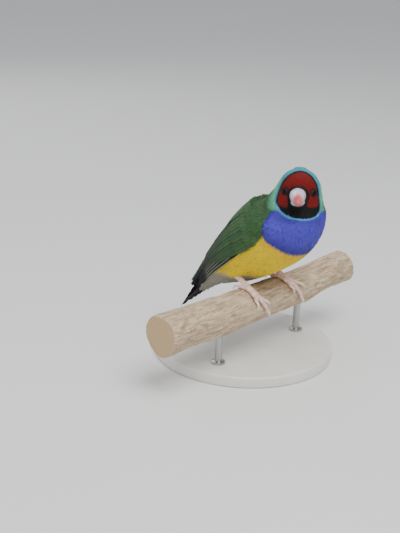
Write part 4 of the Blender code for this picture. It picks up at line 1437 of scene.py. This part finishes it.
class FINCH_OT_eyes(bpy.types.Operator):
    """Adds the glossy eyes and the bare ring round each"""
    bl_idname = "finch.eyes"
    bl_label = "Eyes"

    def execute(self, context):
        c = colours()
        wet, tree, shader = new_material("eye_wet", 0.05, IOR=1.36, Specular_IOR_Level=0.16)
        w = Wires(tree)
        speck = w.ramp(w.noise(w.place(), 1800.0, 3.0), 0.35, 0.75)
        w.join(w.mixed(speck, solid(c.eye), solid(tint(12, 7, 5))), shader.inputs["Base Color"])
        skin = mottled_material(
            "lid_skin", c.lid, tint(24, 14, 14), 1500.0, 0.7, 0.6, 0.05, Specular_IOR_Level=0.25)
        for label, sign in (("left", 1), ("right", -1)):
            middle = eye_middle(sign)
            turn = Vector(eye_look(sign)).to_track_quat("Z", "Y")
            eye = add_ball("eyeball_" + label, EYE_RADIUS, middle, turn.to_euler(), 48, 32)
            eye.data.shade_smooth()
            finish_piece(eye, wet, ("eye_" + label,))
            finish_piece(self.lids("lid_" + label, middle, turn), skin)
        return {"FINISHED"}

    @staticmethod
    def lids(name, middle, turn):
        """The skin over the eyeball, with an almond opening and a beaded rim."""
        made = add_ball(name, LID_RADIUS, (0, 0, 0), (0, 0, 0), 64, 64)
        work = bmesh.new()
        work.from_mesh(made.data)
        gone = []
        for vertex in work.verts:
            x, y, z = vertex.co / (LID_RADIUS * MM)
            turned = math.degrees(math.acos(max(-1.0, min(1.0, z))))
            flat = math.hypot(x, y) + 1e-9
            across, over = turned * x / flat, turned * y / flat
            opening = math.hypot(across / LID_OPENING[0], over / LID_OPENING[1])
            if opening < 1 or turned > 80:
                gone.append(vertex)
            elif opening < 1.3:
                vertex.co *= 1 + 0.03 * math.cos((opening - 1.12) / 0.18 * math.pi / 2)
        bmesh.ops.delete(work, geom=gone, context="VERTS")
        work.to_mesh(made.data)
        work.free()
        made.data.transform(Matrix.Translation(Vector(middle) * MM) @ turn.to_matrix().to_4x4())
        shaped(made, "SOLIDIFY", thickness=0.14 * MM, offset=-1.0)
        made.data.shade_smooth()
        return made


def bill_axes():
    """The bill's start, the way it points, its side and its up."""
    turn, pitch = math.radians(HEAD_TURN), math.radians(BILL_PITCH)
    level = np.array([math.sin(turn), -math.cos(turn), 0.0])
    ahead = level * math.cos(pitch) + np.array([0.0, 0.0, math.sin(pitch)])
    start = HEAD_MIDDLE + HEAD_UP * BILL_HEIGHT + HEAD_SIDE * BILL_SHIFT + HEAD_FACING * BILL_OUT
    over = np.cross(ahead, HEAD_SIDE)
    over = over if over[2] > 0 else -over
    roll = math.radians(BILL_ROLL)
    across = HEAD_SIDE * math.cos(roll) - over * math.sin(roll)
    return start, ahead, across, HEAD_SIDE * math.sin(roll) + over * math.cos(roll)


class FINCH_OT_bill(bpy.types.Operator):
    """Adds both halves of the bill, with nostrils and growth lines"""
    bl_idname = "finch.bill"
    bl_label = "Bill"

    def execute(self, context):
        c = colours()
        horn = mottled_material(
            "bill_horn", c.bill, tint(232, 214, 214), 260.0, 0.35, 0.26, 0.03, marked=True, Coat_Weight=0.35,
            Coat_Roughness=0.15, Subsurface_Weight=0.12, Subsurface_Radius=(0.001, 0.0005, 0.0004))
        start, ahead, side, up = bill_axes()
        pearl, tip = np.array(c.bill), np.array(c.bill_tip)
        for name, form in (("upper", UPPER_BILL), ("lower", LOWER_BILL)):
            rings, ends = self.half(form)
            flat = np.concatenate([rings.reshape(-1, 3), ends]) - start
            out, high, wide = flat @ ahead / form["length"], flat @ up, np.abs(flat @ side)
            share = smooth((out - 0.48) / 0.30) * (1 - 0.35 * smooth((wide - 1.2) / 1.4))
            if name == "lower":
                share = 0.5 * smooth((2.1 - wide) / 1.2) + 0.4 * smooth((out - 0.4) / 0.4)
            share = np.clip(share + 0.08 * smooth((1.3 - wide) / 1.0) * smooth((out - 0.2) / 0.3), 0, 1)
            # Painted shade along the mouth line: each half darkens towards dark red where the two halves meet
            mouth_line_shade = 0.5 * (1 - smooth(np.abs(high + form["droop"] * np.sign(form["rise"]) * out**2) / 0.22))
            colour = blend_colours(np.broadcast_to(pearl, flat.shape), tip, share)
            made = closed_loft("bill_half_" + name, rings, ends, blend_colours(colour, tip * 0.25, mouth_line_shade))
            finish_piece(made, horn, ("bill_" + name,))
        return {"FINISHED"}

    @staticmethod
    def half(form):
        """Arched sections over the mouth line, closing to a drooping point, with faint growth lines."""
        start, ahead, side, up = bill_axes()
        sign = 1 if form["rise"] > 0 else -1
        s = np.concatenate([[-BILL_SINK], np.linspace(0.0, 0.97, BILL_ROWS) * form["length"]])
        u = np.clip(s, 0, None) / form["length"]
        half = form["half"] * (1 - u**1.7) ** 0.85
        rise = abs(form["rise"]) * (1 - u**1.8) ** 0.8
        half[0] *= 0.9
        rise[0] *= 0.9
        flat = BILL_GAPE / 2 - sign * form["droop"] * u * u
        turn = np.linspace(0, math.pi, BILL_ARC)
        ridge = 1 + 0.025 * np.exp(-((turn - math.pi / 2) / 0.22) ** 2) * (sign > 0)
        lines = 1 + 0.004 * np.sin(s * 7.0)
        arch = np.clip(np.sin(turn), 0, 1) ** form["arch"]
        wide = np.cos(turn) * (1 - form["pinch"] * (1 - arch) ** 2)
        arch = arch * ridge
        height = flat[:, None] + np.maximum(rise - flat, 0.1)[:, None] * arch[None] * lines[:, None]
        rings = (
            start
            + ahead * s[:, None, None]
            + side * (half[:, None] * wide * lines[:, None])[..., None]
            + up * (sign * height)[..., None]
        )
        if sign > 0:
            for way in (-1, 1):
                pit = start + ahead * NOSTRIL[0] + side * way * NOSTRIL[1] + up * NOSTRIL[2]
                gone = np.linalg.norm(rings - pit, axis=-1)
                inward = start + ahead * NOSTRIL[0] - rings
                inward /= np.linalg.norm(inward, axis=-1)[..., None]
                rings = rings + inward * (NOSTRIL_DEPTH * np.exp(-(gone / NOSTRIL_RADIUS) ** 2))[..., None]
        tip_at = start + ahead * form["length"] + up * sign * (BILL_GAPE / 2 + 0.05 - sign * form["droop"])
        back = rings[0, [0, -1]].mean(0) + up * sign * 0.4
        return rings, np.array([back, tip_at])


def perch_axis(x):
    """The branch's middle and radius at x: straight where it is gripped, with a slight bend beyond."""
    x = np.asarray(x, float)
    beyond = smooth((np.abs(x) - PERCH_STRAIGHT) / (PERCH_HALF - PERCH_STRAIGHT))
    radius = PERCH_RADIUS - PERCH_TAPER * x
    rise = np.where(x > 0, PERCH_RISE * beyond, 0.0)
    return np.stack([x, PERCH_Y + PERCH_BEND * beyond, PERCH_TOP - PERCH_RADIUS + rise], -1), radius


def on_perch(x, angle, lift):
    """Points above the branch's bark: angle 0 is its top, negative ones are in front."""
    x, angle, lift = np.broadcast_arrays(*(np.asarray(value, float) for value in (x, angle, lift)))
    middle, radius = perch_axis(x)
    turn = np.radians(angle)
    out = np.stack([np.zeros_like(turn), np.sin(turn), np.cos(turn)], -1)
    return middle + out * (radius + lift)[..., None]


class FINCH_OT_branch(bpy.types.Operator):
    """Adds the cut length of branch with its grain, flakes and sawn ends"""
    bl_idname = "finch.branch"
    bl_label = "Branch"

    def execute(self, context):
        relief = in_mm(sizes().bark_relief)
        x = np.linspace(-PERCH_HALF + 0.05, PERCH_HALF - 0.05, BARK_ROWS)
        x = np.concatenate([[-PERCH_HALF] * 3, x, [PERCH_HALF] * 3])
        inset = np.concatenate([BARK_INSET, np.ones(BARK_ROWS), BARK_INSET[::-1]])
        turn = ring_turns(BARK_SIDES)
        middle, radius = perch_axis(x)
        free = smooth((np.abs(x) - PERCH_STRAIGHT) / PERCH_BLEND)[:, None]
        knots = PERCH_KNOTS[0] * np.sin(3 * turn + 0.13 * x[:, None])
        knots = knots + PERCH_KNOTS[1] * np.sin(2 * turn - 0.21 * x[:, None])
        rough = np.empty((len(x), BARK_SIDES))
        for i, along in enumerate(x):
            for j, around in enumerate(turn):
                cx, cy = math.sin(around), math.cos(around)
                fibre = noise.noise((along * 0.09, cx * 5.0, cy * 5.0))
                flake = noise.noise((along * 0.22 + 9, cx * 1.6, cy * 1.6 + 4))
                fine = noise.noise((along * 0.8, cx * 9.0 + 3, cy * 9.0))
                rough[i, j] = 1.0 * fibre + 1.1 * max(flake, 0.0) + 0.35 * fine
        worn = 1.0 - 0.05 * smooth((np.abs(x) - PERCH_HALF + 0.9) / 0.9)
        reach = (radius[:, None] + knots * free) * worn[:, None] + relief * rough - BARK_SINK
        out = np.stack([np.zeros(BARK_SIDES), np.sin(turn), np.cos(turn)], -1)
        rings = middle[:, None] + out[None] * (reach * inset[:, None])[..., None]
        made = closed_loft("branch", rings, [middle[0], middle[-1]])
        finish_piece(made, self.bark(colours()), ("perch",), smooth_to=50)
        return {"FINISHED"}

    @staticmethod
    def bark(c):
        """Tan fibres along the branch with grey patches and dark specks, and rings on the sawn ends."""
        material, tree, shader = new_material("bark_dry", 0.85)
        w = Wires(tree)
        where = w.place()
        fibre = w.noise(w.mapped(where, (110.0, 900.0, 900.0)), 1.0, 5.0, 0.62, 0.6)
        patch = w.noise(w.mapped(where, (70.0, 150.0, 150.0)), 1.0, 4.0, 0.6)
        speck = w.noise(w.mapped(where, (520.0, 1300.0, 1300.0)), 1.0, 4.0, 0.75)
        scar = w.noise(w.mapped(where, (130.0, 260.0, 260.0), (3, 0, 1)), 1.0, 3.0, 0.6)
        colour = w.mixed(w.ramp(fibre, 0.34, 0.68), solid(c.bark), solid(c.grain))
        for pattern, low, high, most, shade in (
                (patch, 0.48, 0.64, 0.5, (216, 198, 170)), (scar, 0.57, 0.66, 0.55, (128, 102, 74)),
                (speck, 0.54, 0.68, 0.65, (80, 64, 48))):
            colour = w.mixed(w.times(w.ramp(pattern, low, high), most), colour, solid(tint(*shade)))
        middle = (0.0, -(PERCH_Y + PERCH_BEND), -(PERCH_TOP - PERCH_RADIUS))
        length = w.add("ShaderNodeVectorMath", operation="LENGTH")
        w.join(w.mapped(where, (0.0, 1000.0, 1000.0), middle), length.inputs[0])
        ring = w.math("SINE", w.times(w.plus(length.outputs["Value"], w.times(patch, 1.2)), 7.5))
        sawn = w.mixed(w.ramp(ring, -0.8, 1.0), solid(tint(198, 172, 132)), solid(tint(168, 138, 98)))
        split = w.add("ShaderNodeSeparateXYZ")
        w.join(where, split.inputs[0])
        at_end = w.math("GREATER_THAN", w.math("ABSOLUTE", split.outputs[0]), (PERCH_HALF - 0.02) * MM)
        w.join(w.mixed(at_end, colour, sawn), shader.inputs["Base Color"])
        w.join(w.plus(0.7, w.times(fibre, 0.3)), shader.inputs["Roughness"])
        w.bump(w.plus(fibre, w.times(speck, -0.5)), 0.25, 0.8, shader)
        return material


def foot_routes(foot):
    """The tarsus and each toe and claw of a foot as routes with radii."""
    pad_at = on_perch(foot["x"], foot["round"], GAP + PAD_LIFT)
    heel = np.array(foot["heel"])
    u = np.linspace(0, 1, 60)
    bow = np.zeros((60, 3))
    bow[:, 2] = TARSUS_BEND * np.sin(math.pi * u)
    into = pad_at + (heel - pad_at) * 1.25
    tarsus = pad_at + (into - pad_at) * u[:, None] + bow
    thick = np.interp(u * 1.25, np.linspace(0, 1, len(TARSUS_RADII)), TARSUS_RADII)
    toes = {}
    claws = {}
    for name, (drift, end) in foot["toes"].items():
        v = np.linspace(0, 1, 60)
        radius = np.interp(v, np.linspace(0, 1, len(TOE_RADII)), TOE_RADII)
        angle = foot["round"] + (end - foot["round"]) * v
        toes[name] = (on_perch(foot["x"] + drift * v**0.9, angle, 0.12 + radius * 0.95), radius)
        way = 1 if end > foot["round"] else -1
        step = drift / abs(end - foot["round"])
        w = np.linspace(0, 1, 30)
        fine = np.interp(w, np.linspace(0, 1, len(CLAW_RADII)), CLAW_RADII)
        turned = -1.5 + (CLAW_ROUND + 3.5) * w
        lift = 0.35 + fine + 1.4 * CLAW_ARCH * np.sin(math.pi * w)
        claws[name] = (on_perch(foot["x"] + drift + 0.9 * step * turned, end + way * turned, lift), fine)
    return pad_at, (tarsus, thick), toes, claws


class FINCH_OT_feet(bpy.types.Operator):
    """Adds the legs with their scutes, the toes round the branch and the claws"""
    bl_idname = "finch.feet"
    bl_label = "Feet"

    def execute(self, context):
        c = colours()
        skin = mottled_material(
            "leg_scutes", c.leg, tint(188, 120, 116), 700.0, 0.55, 0.5, 0.06,
            Subsurface_Weight=0.10, Subsurface_Radius=(0.001, 0.0004, 0.0003))
        horn = mottled_material("claw_horn", c.claw, tint(196, 168, 140), 500.0, 0.5, 0.3, 0.03)
        for label, foot in FEET.items():
            self.foot(label, foot, skin, horn)
        return {"FINISHED"}

    def foot(self, label, foot, skin, horn):
        pad_at, tarsus, toes, claws = foot_routes(foot)
        high = in_mm(sizes().scute_relief)
        pieces = [self.limb(*tarsus, TARSUS_SCUTES, high * 1.3, 28)]
        for route, radius in toes.values():
            pieces.append(self.limb(route, radius, TOE_SCUTES, high, 24))
        turn = math.radians(foot["round"])
        outward = Vector((0.0, math.sin(turn), math.cos(turn))).to_track_quat("Z", "Y")
        pieces.append(add_ball("pad", 1.0, pad_at, outward.to_euler(), 40, 24, PAD_SHAPE))
        deselect()
        for piece in pieces:
            piece.select_set(True)
        made = pieces[0]
        bpy.context.view_layer.objects.active = made
        bpy.ops.object.join()
        made.name = "leg_skin_" + label
        made.data.name = made.name
        shaped(made, "REMESH", mode="VOXEL", voxel_size=FUSE_VOXEL * MM)
        shaped(made, "SMOOTH", factor=0.5, iterations=2)
        made.data.shade_smooth()
        finish_piece(made, skin, ("leg_" + label,))
        for name, (route, radius) in claws.items():
            ends = [route[0], route[-1] + (route[-1] - route[-2])]
            claw = closed_loft(f"claw_tip_{label}_{name}", tube_points(route, radius, 20), ends)
            finish_piece(claw, horn, (f"claw_{label}_{name}",))

    @staticmethod
    def limb(route, radius, pitch, high, sides):
        """A round limb with overlapping scutes across its front."""
        gone = np.concatenate([[0], np.cumsum(np.linalg.norm(np.diff(route, axis=0), axis=1))])
        count = max(int(gone[-1] / pitch * 6), 24)
        fine = np.linspace(0, gone[-1], count)
        line = np.stack([np.interp(fine, gone, route[:, k]) for k in range(3)], 1)
        thick = np.interp(fine, gone, radius)
        saw = (fine / pitch) % 1.0
        front = 0.35 + 0.65 * smooth(np.cos(ring_turns(sides)) + 0.4)
        scute = high * (1 - saw)[:, None] * front[None]
        joints = 0.06 * np.sin(fine * 2.1)[:, None]
        rings = tube_points(line, thick[:, None] + scute + joints * 0.6, sides)
        way = line[-1] - line[-2]
        way /= np.linalg.norm(way)
        return closed_loft("limb", rings, [line[0], line[-1] + way * 0.45])


class FINCH_OT_stand(bpy.types.Operator):
    """Adds the lacquered base and the two steel rods"""
    bl_idname = "finch.stand"
    bl_label = "Stand"

    def execute(self, context):
        c = colours()
        low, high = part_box("stand_base")
        thick = high.z - low.z
        base = add_cylinder("base_disc", 192, (high.x - low.x) / 2, 0, 0, 0, thick)
        shaped(base, "BEVEL", width=BASE_EDGE * MM, segments=5, limit_method="ANGLE")
        lacquer = mottled_material(
            "base_lacquer", c.stand, tint(206, 203, 196), 60.0, 0.5, 0.32, 0.02, Coat_Weight=0.2)
        finish_piece(base, lacquer, ("stand_base",), smooth_to=35)
        steel, tree, shader = new_material("rod_steel", 0.3, Metallic=1.0)
        w = Wires(tree)
        brushed = w.noise(w.mapped(w.place(), (3000.0, 3000.0, 60.0)), 1.0, 3.0)
        pale, bright = solid(tint(150, 150, 150)), solid(tint(200, 200, 200))
        w.join(w.mixed(brushed, pale, bright), shader.inputs["Base Color"])
        w.join(w.plus(0.22, w.times(brushed, 0.22)), shader.inputs["Roughness"])
        for label in ("left", "right"):
            low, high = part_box("stand_rod_" + label)
            x, y = (low.x + high.x) / 2, (low.y + high.y) / 2
            rod = add_cylinder(
                "rod_" + label, 48, (high.x - low.x) / 2, x, y, thick - 0.5 * MM, high.z + 1.2 * MM)
            self.collar(rod, thick)
            finish_piece(rod, steel, ("stand_rod_" + label,), smooth_to=35)
        return {"FINISHED"}

    @staticmethod
    def collar(rod, base_top):
        """A small flange where the rod meets the base."""
        only(rod)
        bpy.ops.object.mode_set(mode="EDIT")
        for height in COLLAR_HEIGHTS:
            bpy.ops.mesh.select_all(action="SELECT")
            bpy.ops.mesh.bisect(plane_co=(0, 0, base_top + height * MM), plane_no=(0, 0, 1))
        bpy.ops.object.mode_set(mode="OBJECT")
        xs = [v.co.x for v in rod.data.vertices]
        ys = [v.co.y for v in rod.data.vertices]
        x, y = (max(xs) + min(xs)) / 2, (max(ys) + min(ys)) / 2
        for vertex in rod.data.vertices:
            if vertex.co.z < base_top + 1.0 * MM:
                vertex.co.x = x + (vertex.co.x - x) * COLLAR_WIDER
                vertex.co.y = y + (vertex.co.y - y) * COLLAR_WIDER


class FINCH_OT_stage(bpy.types.Operator):
    """Adds the pale floor and backdrop, the soft lights and the camera at the photograph's angle"""
    bl_idname = "finch.stage"
    bl_label = "Stage"

    def execute(self, context):
        self.floor()
        self.lights(context)
        self.camera(context)
        return {"FINISHED"}

    @staticmethod
    def floor():
        deselect()
        bpy.ops.mesh.primitive_plane_add(size=30.0, location=(0, 0, 0))
        floor = bpy.context.active_object
        floor.name = "studio_floor"
        material, tree, shader = new_material("studio_paper", 0.9)
        w = Wires(tree)
        pale = colours().floor
        w.join(w.mixed(w.noise(w.place(), 3.0), solid([v * 0.97 for v in pale]), solid(pale)),
               shader.inputs["Base Color"])
        floor.data.materials.append(material)

    @staticmethod
    def lights(context):
        stage = context.scene.finch_stage
        back, right, _ = view_axes(stage)
        for name, way, distance, size, power in (
            ("key", back * 0.6 + right * 0.35 + Vector((0, 0, 1.0)), 0.75, 0.5, stage.key_power),
            ("fill", back * 0.9 - right * 0.8 + Vector((0, 0, 0.35)), 0.8, 0.7, stage.fill_power),
            ("rim", -back * 0.8 - right * 0.5 + Vector((0, 0, 0.8)), 0.8, 0.4, stage.rim_power),
        ):
            light = bpy.data.lights.new(name, "AREA")
            light.energy = power
            light.size = size
            lamp = bpy.data.objects.new(name, light)
            lamp.location = LIGHT_TARGET + way.normalized() * distance
            lamp.rotation_euler = (LIGHT_TARGET - lamp.location).to_track_quat("-Z", "Y").to_euler()
            context.scene.collection.objects.link(lamp)
        world = bpy.data.worlds.new("studio")
        world.use_nodes = True
        even = world.node_tree.nodes["Background"].inputs
        even["Color"].default_value = (0.93, 0.95, 1.0, 1.0)
        even["Strength"].default_value = stage.ambient
        context.scene.world = world

    @staticmethod
    def camera(context):
        stage = context.scene.finch_stage
        back, right, up = view_axes(stage)
        turned_right = right * math.cos(stage.roll) + up * math.sin(stage.roll)
        turned_up = -right * math.sin(stage.roll) + up * math.cos(stage.roll)
        look = Matrix((turned_right, turned_up, back)).transposed()
        off = Vector((
            (GRIP_PIXEL[0] - IMAGE_SIZE[0] / 2) / stage.focal_pixels,
            -(GRIP_PIXEL[1] - IMAGE_SIZE[1] / 2) / stage.focal_pixels,
            -1.0,
        )).normalized()
        centring = off.rotation_difference(Vector((0, 0, -1))).to_matrix()
        camera_data = bpy.data.cameras.new("photo_view")
        camera_data.sensor_width = SENSOR_WIDTH
        camera_data.lens = stage.focal_pixels * camera_data.sensor_width / IMAGE_SIZE[1]
        camera_data.clip_start = 0.01
        camera = bpy.data.objects.new("photo_view", camera_data)
        camera.matrix_world = Matrix.Translation(GRIP + back * stage.distance) @ (look @ centring).to_4x4()
        context.scene.collection.objects.link(camera)
        context.scene.camera = camera


def view_axes(stage):
    """The way from the bird to the camera, and the picture's right and up before its roll."""
    back = Vector((
        math.sin(stage.azimuth) * math.cos(stage.elevation),
        -math.cos(stage.azimuth) * math.cos(stage.elevation),
        math.sin(stage.elevation),
    ))
    right = Vector((math.cos(stage.azimuth), math.sin(stage.azimuth), 0.0))
    return back, right, back.cross(right)


class FINCH_PT_panel(bpy.types.Panel):
    """Lists the finch's pieces with their sizes and colours"""
    bl_idname = "FINCH_PT_panel"
    bl_label = "Gouldian finch"
    bl_space_type = "VIEW_3D"
    bl_region_type = "UI"
    bl_category = "Finch"

    def draw(self, context):
        layout = self.layout
        for group in (context.scene.finch_sizes, context.scene.finch_colours, context.scene.finch_stage):
            box = layout.box()
            for name in group.bl_rna.properties.keys():
                if name not in ("rna_type", "name"):
                    box.prop(group, name)
        for operator in OPERATORS:
            layout.operator(operator.bl_idname)


OPERATORS = (
    FINCH_OT_skin, FINCH_OT_plumage, FINCH_OT_wings, FINCH_OT_tail, FINCH_OT_eyes, FINCH_OT_bill,
    FINCH_OT_feet, FINCH_OT_branch, FINCH_OT_stand, FINCH_OT_stage,
)
GROUPS = (FinchColours, FinchSizes, FinchStage)


def register():
    for item in GROUPS + OPERATORS + (FINCH_PT_panel,):
        bpy.utils.register_class(item)
    bpy.types.Scene.finch_colours = PointerProperty(type=FinchColours)
    bpy.types.Scene.finch_sizes = PointerProperty(type=FinchSizes)
    bpy.types.Scene.finch_stage = PointerProperty(type=FinchStage)


def unregister():
    del bpy.types.Scene.finch_stage
    del bpy.types.Scene.finch_sizes
    del bpy.types.Scene.finch_colours
    for item in reversed(GROUPS + OPERATORS + (FINCH_PT_panel,)):
        bpy.utils.unregister_class(item)


def main():
    register()
    bpy.ops.finch.skin()
    bpy.ops.finch.plumage()
    bpy.ops.finch.wings()
    bpy.ops.finch.tail()
    bpy.ops.finch.eyes()
    bpy.ops.finch.bill()
    bpy.ops.finch.feet()
    bpy.ops.finch.branch()
    bpy.ops.finch.stand()
    bpy.ops.finch.stage()


if __name__ == "__main__":
    main()
